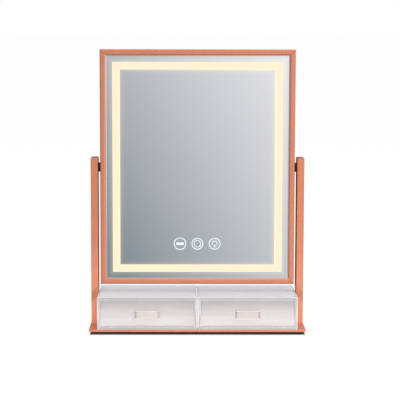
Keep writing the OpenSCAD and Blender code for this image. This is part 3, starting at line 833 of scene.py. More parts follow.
@dataclass(frozen=True)
class ClearAcrylic(Finish):
    """Moulded clear acrylic: a milky haze, cool and grey near the roof and warm and pale low down, both painted light,
    with a painted highlight and glow on the roof, its rims and its edges.
    """

    transmission: float = 0.68
    refraction: float = 1.44
    # Painted light: the roof's paler tone and glow, the rims' highlight, the warm, pale painted reflection low down and
    # the white edges
    roof_highlight_tone: Colour = (0.93, 0.93, 0.96)
    roof_painted_glow: Colour = (0.19, 0.193, 0.215)
    roof_height: Span = (60.0 * MM, 61.0 * MM)
    roof_turn: Span = (0.05, 0.45)
    flat_turn: Span = (0.90, 0.99)
    rim_highlight_gain: float = 0.9
    low_painted_reflection: Colour = (1.0, 0.962, 0.958)
    low_height: Span = (54.0 * MM, 24.0 * MM)
    edge_highlight: Colour = WHITE
    edge_radius: float = 1.2 * MM
    streak_scale: float = 115.0
    streak_stretch: Colour = (0.06, 1.0, 1.0)
    streak_gain: float = 0.06
    streak_range: Span = (0.3, 0.7)
    drift: float = 0.015
    dust: float = 0.05
    smudge_scale: float = 22.0
    smudge_gain: float = 0.12
    scratch_scale: float = 90.0
    scratch_gain: float = 0.06
    swirl_scale: float = 9.0
    swirl_bump: float = 0.05
    swirl_depth: float = 1.2 * MM
    shadow_tone: Colour = (0.93, 0.925, 0.93)
    shadow_share: float = 0.9

    def shade(self, graph: Graph) -> dict[str, Value]:
        """Painted light by height with faint level streaks; a painted highlight and glow on the roof, its rounded rims
        and its edges, for the light from above.
        """
        edge = EDGE_WEAR_AND_HIGHLIGHT.on(graph, Radius=self.edge_radius)
        smudge = SMUDGES.on(graph, Scale=self.smudge_scale)
        scratch = SCRATCHES.on(graph, Scale=self.scratch_scale)
        swirl = GRAIN.on(graph, Scale=self.swirl_scale)
        height = graph.axes(graph.surface("Object"))[2]
        # Painted reflection: the colour turns warm and pale low down
        warm = graph.spread(height, 0.0, 1.0, *self.low_height)
        roof, flat = (FACING.on(graph, From=turn[0], To=turn[1]) for turn in (self.roof_turn, self.flat_turn))
        toned = graph.mix(warm, self.aged_colour(graph, self.drift, self.dust), self.low_painted_reflection)
        streak = GRAIN.on(graph, Scale=self.streak_scale, Stretch=self.streak_stretch)
        swing = graph.spread(streak, 1.0 - self.streak_gain, 1.0 + self.streak_gain, *self.streak_range)
        # Painted highlight: upward faces take the roof's paler tone
        toned = graph.mix(roof, graph.scaled(toned, swing), self.roof_highlight_tone)
        high = graph.spread(height, 0.0, 1.0, *self.roof_height)
        # Painted glow on the roof and its rims, which also evens out the head's shadow on the roof
        rim = graph.times(graph.minus(roof, flat), self.rim_highlight_gain)
        lit = graph.times(graph.math("ADD", roof, rim), high)
        # Painted highlight: the rounded edges turn white
        return {
            "Base Color": graph.mix(edge, toned, self.edge_highlight),
            "Roughness": self.uneven_roughness(graph, (smudge, self.smudge_gain), (scratch, self.scratch_gain)),
            "Transmission Weight": self.transmission,
            "IOR": self.refraction,
            "Normal": graph.bump(swirl, self.swirl_bump, self.swirl_depth),
            "Emission Color": graph.scaled(self.roof_painted_glow, lit),
            "Emission Strength": 1.0,
        }

    def cover(self, graph: Graph, shader: bpy.types.Node) -> None:
        """Shadow rays go through with little loss, as clear plastic throws a pale shadow."""
        see_through = graph.node("BsdfTransparent", {"Color": self.shadow_tone}).outputs[0]
        shadow = graph.times(graph.node("LightPath").outputs["Is Shadow Ray"], self.shadow_share)
        blend = graph.node("MixShader", {0: shadow, 1: shader.outputs[0], 2: see_through})
        leave = next(n for n in graph.tree.nodes if n.type == "OUTPUT_MATERIAL")
        graph.feed(leave.inputs["Surface"], blend.outputs[0])


@dataclass(frozen=True)
class SilveredGlass(Finish):
    """Silvered mirror glass: clean reflection, faint wipe marks, and a painted glow from the band beside it."""

    lit: bool = False
    glow: Colour = (0.20, 0.15, 0.06)
    glow_reach: float = 2.6 * MM
    tone_scale: float = 5.0
    drift: float = 0.008
    smudge_scale: float = 11.0
    smudge_gain: float = 0.05
    ripple_scale: float = 7.0
    ripple_bump: float = 0.02
    ripple_depth: float = 0.4 * MM

    def shade(self, graph: Graph) -> dict[str, Value]:
        """Mirror with smudged gloss and a painted glow that fades from the band's borders."""
        smudge = SMUDGES.on(graph, Scale=self.smudge_scale)
        ripple = GRAIN.on(graph, Scale=self.ripple_scale)
        given = {
            "Base Color": TONE.on(graph, Color=self.colour, Scale=self.tone_scale, Amount=self.drift),
            "Roughness": self.uneven_roughness(graph, (smudge, self.smudge_gain)),
            "Metallic": 1.0,
            "Normal": graph.bump(ripple, self.ripple_bump, self.ripple_depth),
        }
        # Painted glow: the glass beside the band glows, though it is no lamp
        if self.lit:
            outer, inner = (panel.border(graph, self.glow_reach) for panel in (BAND_OUTER, BAND_INNER))
            near = graph.highest(outer["Outside"], inner["Inside"])
            given["Emission Color"] = graph.scaled(self.glow, near)
            given["Emission Strength"] = 1.0
        return given


@dataclass(frozen=True)
class FrostedLight(Finish):
    """Frosted glass lit from behind: an even warm white, a little paler along its borders."""

    rim: Colour = (1.0, 0.915, 0.68)
    rim_reach: float = 2.0 * MM
    silvered_width: float = 1.05 * MM
    silver: Colour = (0.93, 0.945, 0.95)
    silver_roughness: float = 0.012
    tone_scale: float = 9.0
    drift: float = 0.02
    frost_scale: float = 2200.0
    frost_low: Colour = (0.05, 0.045, 0.035)
    frost_high: Colour = (0.08, 0.07, 0.055)
    frost_gain: float = 0.2
    bump: float = 0.4
    depth: float = 0.03 * MM
    specular: float = 0.1

    def shade(self, graph: Graph) -> dict[str, Value]:
        """Emission by place; the unlit surface is a fine frost, and the silvering laps over its outer border."""
        frost = GRAIN.on(graph, Scale=self.frost_scale)
        lit = TONE.on(graph, Color=self.colour, Scale=self.tone_scale, Amount=self.drift)
        frosted = graph.mix(frost, self.frost_low, self.frost_high)
        rough = self.uneven_roughness(graph, (frost, self.frost_gain))
        outer, inner = (panel.border(graph, self.rim_reach) for panel in (BAND_OUTER, BAND_INNER))
        near = graph.highest(outer["Inside"], inner["Outside"])
        silvered = graph.math("GREATER_THAN", outer["Inside"], math.exp(-self.silvered_width / self.rim_reach))
        bare = graph.minus(1.0, silvered)
        return {
            "Base Color": graph.mix(silvered, frosted, self.silver),
            "Roughness": graph.spread(silvered, rough, self.silver_roughness),
            "Metallic": silvered,
            "Emission Color": graph.scaled(graph.mix(near, lit, self.rim), bare),
            "Emission Strength": 1.0,
            "Specular IOR Level": self.specular,
            "Normal": graph.bump(graph.times(frost, bare), self.bump, self.depth),
        }


ROSE_GOLD = srgb(218, 136, 103)
FACING_FULLY: Span = (0.4, 0.9)
# Painted shade for the posts' inner sides, which face the head across a narrow gap
POST_SHADE: Colour = (0.40, 0.095, 0.04)
POST_SHADE_SHARE = 0.55


def rose_gold(name: str, grain: Grain, *layers: Layer, roughness: float = 0.36) -> SatinPaint:
    """The frame's paint in one of its kinds.

    Args:
        name: what the paint is for.
        grain: the way that it is brushed.
        layers: the painted light and shade that lie over it.
        roughness: its roughness.

    Returns:
        The finish.
    """
    return SatinPaint("RoseGold" + name, "rose_gold", ROSE_GOLD, roughness, grain=grain, layers=layers)


def post_paint(side: str, inward: float, thrown: float) -> SatinPaint:
    """A post's paint, with painted shade on its inner side and painted light from the cases on its foot.

    Args:
        side: the post's side.
        inward: which way along X its inner side looks, 1 or -1.
        thrown: how strong the painted light from the cases is.

    Returns:
        The finish.
    """
    shade = FacingLayer(POST_SHADE, POST_SHADE_SHARE, (inward, 0.0, 0.0), FACING_FULLY)
    return rose_gold(f"{side}Post", Grain.UPRIGHT, FootLayer(share=thrown), shade)


# Painted shade on the bevels that face left and down, away from the light
PAINTED_SHADE_ON_BEVELS = FacingLayer()
PAINT_ACROSS = rose_gold("Across", Grain.ACROSS)
PAINT_EVEN = rose_gold("Even", Grain.EVEN, roughness=0.40)
# Painted shade: the caps' upward faces take a darker tone
PAINT_CAP = rose_gold("Cap", Grain.EVEN, FacingLayer((0.20, 0.05, 0.02), 0.7, UP, FACING_FULLY), roughness=0.40)
# The posts' paint carries painted shade on the inner side and painted light on the foot
LEFT_POST = post_paint("Left", 1.0, 1.0)
RIGHT_POST = post_paint("Right", -1.0, 0.70)
# Painted shade on the rails' bevels, close inside the bottom and left outline, and on the lip
RAIL_TOP = rose_gold("TopRail", Grain.ACROSS, PAINTED_SHADE_ON_BEVELS)
RAIL_BOTTOM = rose_gold("BottomRail", Grain.ACROSS, PAINTED_SHADE_ON_BEVELS, BorderLayer(share=0.6))
RAIL_LEFT = rose_gold("LeftRail", Grain.UPRIGHT, PAINTED_SHADE_ON_BEVELS, BorderLayer(share=0.35))
RAIL_RIGHT = rose_gold("RightRail", Grain.UPRIGHT, PAINTED_SHADE_ON_BEVELS)
RAIL_LIP = rose_gold("Lip", Grain.EVEN, FacingLayer(share=0.4))

STEEL = BareMetal("ZincSteel", "steel", (0.56, 0.57, 0.59), 0.28)
TURNED_STEEL = BareMetal("TurnedSteel", "steel", (0.50, 0.51, 0.53), 0.32, grain=Grain.ACROSS)
COPPER = BareMetal("TouchCopper", "copper_pad", (0.72, 0.36, 0.17), 0.30)

# The mirror carries a painted glow beside the light band
MIRROR = SilveredGlass("SilveredMirror", "mirror", (0.93, 0.945, 0.95), 0.012, lit=True)
GLASS_EDGE = SilveredGlass("GroundGlassEdge", "mirror", (0.78, 0.90, 0.97), 0.18)
BAND = FrostedLight("FrostedBandLight", "frosted_band", srgb(246, 233, 201), 0.45)
# The clear acrylic carries painted light: warm and pale low down, with a highlight and glow on its roof, rims and edges
ACRYLIC = ClearAcrylic("ClearAcrylicBody", "clear_acrylic", (0.68, 0.67, 0.68), 0.02)
ACRYLIC_PULL = ClearAcrylic("ClearAcrylicPull", "clear_acrylic", (0.80, 0.75, 0.73), 0.03, low_painted_reflection=(0.88, 0.82, 0.79))
LAMINATE = CircuitLaminate("BoardLaminate", "circuit_board", (0.014, 0.16, 0.062), 0.38)

# Grain's scale and depth, then the share of paler edges, of dust, and the glow
RUBBER = MouldedPlastic("PadRubber", "black_rubber", (0.004, 0.003, 0.003), 0.85, 1100.0, 0.08 * MM, 0.01, 0.02)
NYLON = MouldedPlastic("BearingNylon", "black_nylon", (0.018, 0.014, 0.012), 0.45, 1500.0, 0.03 * MM, 0.06, 0.04)
OPAL = MouldedPlastic("OpalDiffuser", "opal_plastic", (0.80, 0.78, 0.72), 0.40, 1300.0, 0.02 * MM, 0.0, 0.0, 0.35)
CHIP = MouldedPlastic("LightChipLens", "light_chip", (0.90, 0.80, 0.45), 0.30, 2600.0, 0.02 * MM, 0.0, 0.0, 0.5)
# Painted light: the etched symbols glow, though no lamp lies behind them
ETCHED = MouldedPlastic("EtchedSymbol", "frosted_band", srgb(205, 214, 224), 0.50, 2400.0, 0.02 * MM, 0.0, 0.0, 0.35)
# Painted highlight: pale moulded edges with a painted glow, for the light that clear edges catch and carry
ACRYLIC_EDGE_HIGHLIGHT = MouldedPlastic(
    "AcrylicEdge", "clear_acrylic", (0.46, 0.455, 0.465), 0.20, 900.0, 0.01 * MM, 0.0, 0.0, 0.85
)
SEAM = MouldedPlastic("MitreSeam", "rose_gold", (0.10, 0.035, 0.02), 0.60, 1600.0, 0.02 * MM, 0.0, 0.0)
WHITE_PLASTIC = MouldedPlastic("WhiteMoulding", "white_plastic", (0.78, 0.78, 0.75), 0.42, 900.0, 0.04 * MM)
COMPONENT = MouldedPlastic("ComponentMoulding", "component_black", (0.02, 0.02, 0.022), 0.50, 2100.0)
SOCKET_PLASTIC = MouldedPlastic("SocketMoulding", "component_black", (0.014, 0.014, 0.015), 0.38, 1600.0)
BLACK_SHEATH = MouldedPlastic("BlackSheath", "wire_black", (0.015, 0.015, 0.016), 0.42, 700.0)
RED_SHEATH = MouldedPlastic("RedSheath", "wire_red", (0.45, 0.02, 0.015), 0.42, 700.0)


# ---------------------------------------------------------------- sub-assemblies


@dataclass
class SubAssembly:
    """What every sub-assembly has: the CAD body that its pieces ride on."""

    body: str

    def dress(self, finish: Finish, *nodes: str) -> None:
        """Gives CAD nodes a finish.

        Args:
            finish: the finish.
            nodes: the nodes' names.
        """
        for node in nodes:
            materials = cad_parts[node].data.materials
            materials.clear()
            materials.append(finish.material())
            LOG.info("%s: %s in %s", type(self).__name__, node, finish.name)

    def add(self, piece: bpy.types.Object, finish: Finish, *stands_for: str) -> None:
        """Makes a new piece part of the sub-assembly.

        Args:
            piece: the piece, in place.
            finish: its finish.
            stands_for: CAD nodes that it is shown instead of.
        """
        piece.data.materials.append(finish.material())
        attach(piece, self.body)
        if stands_for:
            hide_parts(*stands_for)
        LOG.info("%s: %s added in %s", type(self).__name__, piece.name, finish.name)

    def build(self) -> None:
        """Dresses and adds everything; every sub-assembly has its own."""
        raise NotImplementedError(type(self).__name__)


@dataclass
class Base(SubAssembly):
    """The plate, the pad under it, the blocks that hold the posts and their screws."""

    screw: Screw = Screw(4.55 * MM, 2.1 * MM, 2.45 * MM, countersunk=True)
    end_clear: float = 0.05 * MM

    def build(self) -> None:
        """Dresses the base and makes its countersunk screws."""
        self.dress(PAINT_ACROSS, "base_plate")
        self.dress(RUBBER, "base_pad")
        self.dress(STEEL, *both("foot_block"))
        self.add(self.screws(), STEEL, "arm_screws")

    def screws(self) -> bpy.types.Object:
        """Countersunk screws with a cross recess, their heads flush under the plate."""
        shape, cone = Shape(), self.screw.head_radius - self.screw.shank_radius
        for low, high in solids_of("arm_screws"):
            middle = (low + high) / 2
            place = Matrix.Translation((middle.x, middle.y, low.z + cone)) @ Matrix.Rotation(math.pi, 4, "X")
            self.screw.drive(shape, place, high.z - low.z - cone - self.end_clear)
        return shape.finish("foot_screws")


@dataclass
class Posts(SubAssembly):
    """The two square posts, the caps that close them and the hairline joint round each foot."""

    joint_height: float = 0.30 * MM
    joint_relief: float = 0.03 * MM
    joint_clear: float = 0.01 * MM

    def build(self) -> None:
        """Dresses the posts with upright grain and the caps with even grain, and adds the joints."""
        self.dress(LEFT_POST, "left_arm")
        self.dress(RIGHT_POST, "right_arm")
        self.dress(PAINT_CAP, *both("arm_cap"))
        for side in ("left", "right"):
            self.add(self.foot_joint_shade(side), SEAM)

    def foot_joint_shade(self, side: str) -> bpy.types.Object:
        """The dark line where a post stands on the plate, a thin band round the post's foot: the joint, with painted
        shade for the shadow in its gap.
        """
        low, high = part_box(f"{side}_arm")
        left, front = (value - self.joint_relief for value in low[:2])
        right, back = (value + self.joint_relief for value in high[:2])
        outline = ((left, front), (right, front), (right, back), (left, back))
        foot, shape = low[2] + self.joint_clear, Shape()
        shape.loft([shape.ring([Vector((x, y, foot + z)) for x, y in outline]) for z in (0.0, self.joint_height)])
        return shape.finish(f"{side}_foot_joint")


@dataclass
class TiltPivots(SubAssembly):
    """What the mirror turns on, in the stand or in the head; each name stands for a left and a right piece."""

    moulded: tuple[str, ...] = ()
    turned: tuple[str, ...] = ()
    plated: tuple[str, ...] = ()

    def build(self) -> None:
        """Dresses the washers, bushes, studs, springs, nuts and blocks."""
        self.dress(NYLON, *both(*self.moulded))
        self.dress(TURNED_STEEL, *both(*self.turned))
        self.dress(STEEL, *both(*self.plated))


@dataclass
class MirrorFrame(SubAssembly):
    """Four mitred rails with a hairline seam at each corner, and the keys inside them."""

    front: float = -13.5 * MM
    face: float = 8.5 * MM
    edge_bevel: float = 0.8 * MM
    lip_start: Point = (7.5 * MM, -0.02 * MM)
    lip_end: Point = (9.8 * MM, 1.25 * MM)
    lip_foot: float = 1.69 * MM
    lip_bevel: float = 1.0 * MM
    lip_clear: float = 0.02 * MM
    seam_start: float = 0.15 * MM
    seam_width: float = 0.26 * MM
    seam_relief: float = 0.02 * MM

    def build(self) -> None:
        """Dresses the rails along their length, adds the lip that laps over the glass, and draws the seams."""
        self.dress(RAIL_TOP, "frame_top")
        self.dress(RAIL_BOTTOM, "frame_bottom")
        self.dress(RAIL_LEFT, "frame_left")
        self.dress(RAIL_RIGHT, "frame_right")
        self.dress(STEEL, "corner_keys")
        self.add(self.lip(), RAIL_LIP)
        self.add(self.seams(), SEAM)

    def lip(self) -> bpy.types.Object:
        """The rails' inner lip, a slope all round from their faces down to the glass."""
        shape, inner = Shape(), self.face + self.lip_clear
        profile = (
            self.lip_start,
            self.lip_end,
            (self.lip_end[0], self.lip_foot),
            (inner, self.lip_foot),
            (inner, self.lip_bevel + self.lip_clear),
        )
        rings = [HEAD_OUTLINE.ring(shape, inward, self.front + back) for inward, back in profile]
        shape.loft(rings + rings[:1])
        return shape.finish("frame_lip")

    def seam_profile(self) -> list[Point]:
        """The rail's outline that shows, as distances in from the outer side and back from the front."""
        out, start, bevel = -self.seam_relief, self.seam_start, self.edge_bevel
        lip = [(inward, back + out) for inward, back in (self.lip_start, self.lip_end)]
        return [(start + out / 2, bevel - start + out / 2), (bevel + out / 2, out), *lip]

    def seams(self) -> bpy.types.Object:
        """The four joints between the rails, as thin dark lines over the outline."""
        shape = Shape()
        for side, rise in ((-1, -1), (-1, 1), (1, -1), (1, 1)):
            aslant = Vector((side, 0, -rise)).normalized() * self.seam_width / 2
            line = []
            for inward, back in self.seam_profile():
                across, up = HEAD_OUTLINE.corners(inward)[2]
                line.append(Vector((side * across, self.front + back, PIVOT_HEIGHT + rise * up)))
            shape.loft([shape.ring([p - aslant for p in line]), shape.ring([p + aslant for p in line])], closed=False)
        return shape.finish("mitre_seams")


@dataclass
class GlassPanel(SubAssembly):
    """The silvered glass, the frosted light band let into it and its ground edge."""

    edge_width: float = 1.2 * MM
    edge_rise: float = 0.22 * MM
    edge_gap: float = 0.03 * MM

    def build(self) -> None:
        """Dresses the glass and the band and adds the ground edge beside the frame's lip."""
        self.dress(MIRROR, "mirror_glass")
        self.dress(BAND, "light_band")
        self.add(self.ground_edge(), GLASS_EDGE)

    def ground_edge(self) -> bpy.types.Object:
        """The glass's ground edge, a narrow slope all round that leans towards the frame."""
        shape, gap, width = Shape(), self.edge_gap, self.edge_width
        profile = ((gap, gap), (gap, self.edge_rise), (width, 2 * gap), (width, gap))
        shape.loft([GLASS_OPENING.ring(shape, inward, GLASS_FRONT - rise) for inward, rise in profile])
        return shape.finish("glass_ground_edge")


@dataclass
class TouchSymbols(SubAssembly):
    """Three generic touch symbols etched in the glass: a switch bar, a dimmer ring and a bulb."""

    pitch: float = 29.4 * MM
    height: float = 144.6 * MM
    relief: float = 0.05 * MM
    sunk: float = 0.01 * MM
    stroke: float = 1.45 * MM
    thin: float = 1.15 * MM
    foot_stroke: float = 0.92 * MM
    switch_radius: float = 9.9 * MM
    ring_radius: float = 9.3 * MM
    dimmer_radius: float = 5.7 * MM
    bar_reach: float = 4.3 * MM
    bar_waist: float = 1.9 * MM
    bar_swell: float = 0.6 * MM
    bulb_middle: Point = (0.0, 0.9 * MM)
    bulb_radius: float = 3.7 * MM
    bulb_neck: Point = (1.35 * MM, -4.1 * MM)
    bulb_foot: Point = (1.3 * MM, -5.9 * MM)

    def build(self) -> None:
        """Adds the three symbols."""
        switch, dimmer, bulb = Shape(), Shape(), Shape()
        self.circle(switch, -self.pitch, self.switch_radius, self.stroke)
        self.filled(switch, -self.pitch, self.switch_bar())
        self.circle(dimmer, 0.0, self.ring_radius, self.stroke)
        self.circle(dimmer, 0.0, self.dimmer_radius, self.thin)
        self.circle(bulb, self.pitch, self.ring_radius, self.stroke)
        self.line(bulb, self.pitch, self.bulb_outline(), self.thin, True)
        across, low = self.bulb_foot
        self.line(bulb, self.pitch, [(-across, low), (across, low)], self.foot_stroke, False)
        for shape, name in ((switch, "symbol_switch"), (dimmer, "symbol_dimmer"), (bulb, "symbol_bulb")):
            self.add(shape.finish(name), ETCHED)

    def switch_bar(self) -> list[Point]:
        """A bold level bar that swells to its rounded ends."""
        reach, waist, swell = self.bar_reach, self.bar_waist, self.bar_swell
        right = arc((reach, 0.0), waist + swell, -90, 90, 12)
        left = arc((-reach, 0.0), waist + swell, 90, 270, 12)
        inner = [i / 4 for i in range(-3, 4)]
        top = [(-k * reach, waist + swell * k * k) for k in inner]
        bottom = [(k * reach, -waist - swell * k * k) for k in inner]
        return right + top + left + bottom

    def bulb_outline(self) -> list[Point]:
        """A bulb's outline: a round head that draws in to a neck."""
        across, low = self.bulb_neck
        return arc(self.bulb_middle, self.bulb_radius, -42, 222, 28) + [(-across, low), (across, low)]

    def at(self, middle: float, points: Sequence[Point], level: float) -> list[Vector]:
        """Puts flat points on the glass, level metres in front of it."""
        return [Vector((middle + x, GLASS_FRONT - level, self.height + z)) for x, z in points]

    def circle(self, shape: Shape, middle: float, radius: float, stroke: float) -> None:
        """Adds a ring of a given stroke."""
        self.line(shape, middle, arc((0.0, 0.0), radius, 0, 360, 64)[:-1], stroke, True)

    def line(self, shape: Shape, middle: float, points: Sequence[Point], stroke: float, closed: bool) -> None:
        """Adds a stroke of even width.

        Args:
            shape: what the faces go into.
            middle: the symbol's place across the glass.
            points: the stroke's middle line.
            stroke: its width.
            closed: whether the line joins up.
        """
        near, far = self.relief, self.sunk
        left, right = beside(points, stroke / 2, closed), beside(points, -stroke / 2, closed)
        rings = [shape.ring(self.at(middle, p, d)) for p, d in ((left, far), (left, near), (right, near), (right, far))]
        shape.loft(rings, closed)

    def filled(self, shape: Shape, middle: float, points: Sequence[Point]) -> None:
        """Adds a filled form with a short side wall."""
        front = shape.ring(self.at(middle, points, self.relief))
        shape.fill(front)
        shape.loft([front, shape.ring(self.at(middle, points, self.sunk))])


@dataclass
class LightBox(SubAssembly):
    """What lights the band: a channel, strips with chips, and a diffuser."""

    strips: tuple[str, ...] = ("top", "bottom", "left", "right")

    def build(self) -> None:
        """Dresses the channel, the strips, the chips and the diffuser."""
        self.dress(WHITE_PLASTIC, "light_channel", *(f"led_strip_{side}" for side in self.strips))
        self.dress(CHIP, "led_chips")
        self.dress(OPAL, "light_diffuser")


@dataclass
class Electronics(SubAssembly):
    """The boards, the touch pads, the power inlet and the leads between them."""

    def build(self) -> None:
        """Dresses every electrical piece in the head."""
        self.dress(LAMINATE, "control_board", "touch_board")
        self.dress(COMPONENT, "board_components")
        self.dress(WHITE_PLASTIC, "board_standoffs", "touch_lead")
        self.dress(COPPER, "touch_pads")
        self.dress(SOCKET_PLASTIC, "power_socket")
        self.dress(TURNED_STEEL, "socket_pin")
        self.dress(BLACK_SHEATH, "power_leads")
        self.dress(RED_SHEATH, "led_lead")


@dataclass
class BackPanel(SubAssembly):
    """The cover that closes the head, held by cross-recess screws."""

    screw: Screw = Screw(2.68 * MM, 1.55 * MM, 1.48 * MM, countersunk=False)
    head_clear: float = 0.03 * MM
    end_clear: float = 0.05 * MM
    turn_step: float = 0.61

    def build(self) -> None:
        """Dresses the cover and makes its screws."""
        self.dress(PAINT_EVEN, "back_cover")
        self.add(self.screws(), STEEL, "back_screws")

    def screws(self) -> bpy.types.Object:
        """Pan-head screws with a cross recess, each turned a little differently."""
        shape, head = Shape(), self.screw.head_height
        for i, (low, high) in enumerate(solids_of("back_screws")):
            middle = (low + high) / 2
            seat = Matrix.Translation((middle.x, high.y - head - self.head_clear, middle.z))
            place = seat @ Matrix.Rotation(-math.pi / 2, 4, "X") @ Matrix.Rotation(i * self.turn_step, 4, "Z")
            self.screw.drive(shape, place, high.y - low.y - head - self.head_clear - self.end_clear)
        return shape.finish("cover_screws")


@dataclass
class ClearDrawer(SubAssembly):
    """One clear case with its drawer and pull; the case stands still and the other two slide."""

    side: str = "left"
    soft_edge: float = 0.7 * MM
    soft_angle: float = 40.0
    weld_reach: float = 0.005 * MM
    rim_width: float = 0.7 * MM
    rim_inset: float = 0.15 * MM
    rim_relief: float = 0.02 * MM
    rim_sunk: float = 0.004 * MM
    front_radius: float = 1.5 * MM

    def build(self) -> None:
        """Dresses the case, the drawer and the pull in clear acrylic, with moulded edges in painted highlight and glow.
        """
        case, drawer, pull = (f"{self.side}_{name}" for name in ("case", "drawer", "pull"))
        self.dress(ACRYLIC, case, drawer)
        self.dress(ACRYLIC_PULL, pull)
        self.soften(case)
        self.soften(pull)
        self.add(self.front_edge_highlight(), ACRYLIC_EDGE_HIGHLIGHT)

    def soften(self, node: str) -> None:
        """Rounds the edges of a CAD node by a modifier, as moulding leaves them, with a painted highlight and glow on
        them.
        """
        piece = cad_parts[node]
        piece.data.materials.append(ACRYLIC_EDGE_HIGHLIGHT.material())
        piece.modifiers.new("Weld", "WELD").merge_threshold = self.weld_reach
        bevel = piece.modifiers.new("SoftEdges", "BEVEL")
        bevel.width, bevel.segments, bevel.limit_method = self.soft_edge, 2, "ANGLE"
        bevel.angle_limit = math.radians(self.soft_angle)
        bevel.use_clamp_overlap = bevel.harden_normals = False
        bevel.material = 1

    def front_edge_highlight(self) -> bpy.types.Object:
        """The drawer front's polished edge, a narrow outline on its face in painted highlight and glow."""
        low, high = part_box(f"{self.side}_drawer")
        middle_x, middle_z = (low[0] + high[0]) / 2, (low[2] + high[2]) / 2
        outer, inner = self.rim_inset, self.rim_inset + self.rim_width
        sunk, proud = self.rim_sunk, self.rim_relief
        shape, rings = Shape(), []
        for inset, rise in ((outer, sunk), (outer, proud), (inner, proud), (inner, sunk)):
            half = ((high[0] - low[0]) / 2 - inset, (high[2] - low[2]) / 2 - inset)
            outline = rounded_outline(half, self.front_radius - inset)
            rings.append(shape.ring([Vector((middle_x + x, low[1] - rise, middle_z + z)) for x, z in outline]))
        shape.loft(rings)
        return shape.finish(f"{self.side}_drawer_edge")


# ---------------------------------------------------------------- studio


@dataclass(frozen=True)
class Sweep:
    """What the mirror and the metal see: a soft sweep from a dim left to a pale right, nearer and farther."""

    dim: Colour = (0.235, 0.275, 0.305)
    pale: Colour = (0.90, 0.88, 0.895)
    reach: Span = (-0.15, 1.15)
    middle: float = 0.7015
    # The camera's place as the glass mirrors it, along Y, and its distance from the glass
    mirrored_eye: float = 2.459
    eye_to_glass: float = 2.471
    floor_across: float = 2.43
    floor_far: float = -0.6745
    sky_across: float = 6.0

    def colour(self, graph: Graph, graded: Socket) -> Socket:
        """The sweep's colour at a graded place."""
        return graph.mix(graph.spread(graded, 0.0, 1.0, *self.reach), self.dim, self.pale)

    def on_floor(self, graph: Graph, place: Sequence[Socket]) -> Socket:
        """The sweep on the floor, laid out as the glass shows it."""
        near = graph.math("DIVIDE", self.eye_to_glass, graph.minus(self.mirrored_eye, place[1]))
        far_part = graph.straight(near, self.floor_far, self.middle)
        return self.colour(graph, graph.straight(graph.times(place[0], near), self.floor_across, far_part))

    def in_sky(self, graph: Graph, across: Socket, ahead: Socket) -> Socket:
        """The sweep in the sky in front of the object."""
        return self.colour(graph, graph.straight(graph.math("DIVIDE", across, ahead), self.sky_across, self.middle))


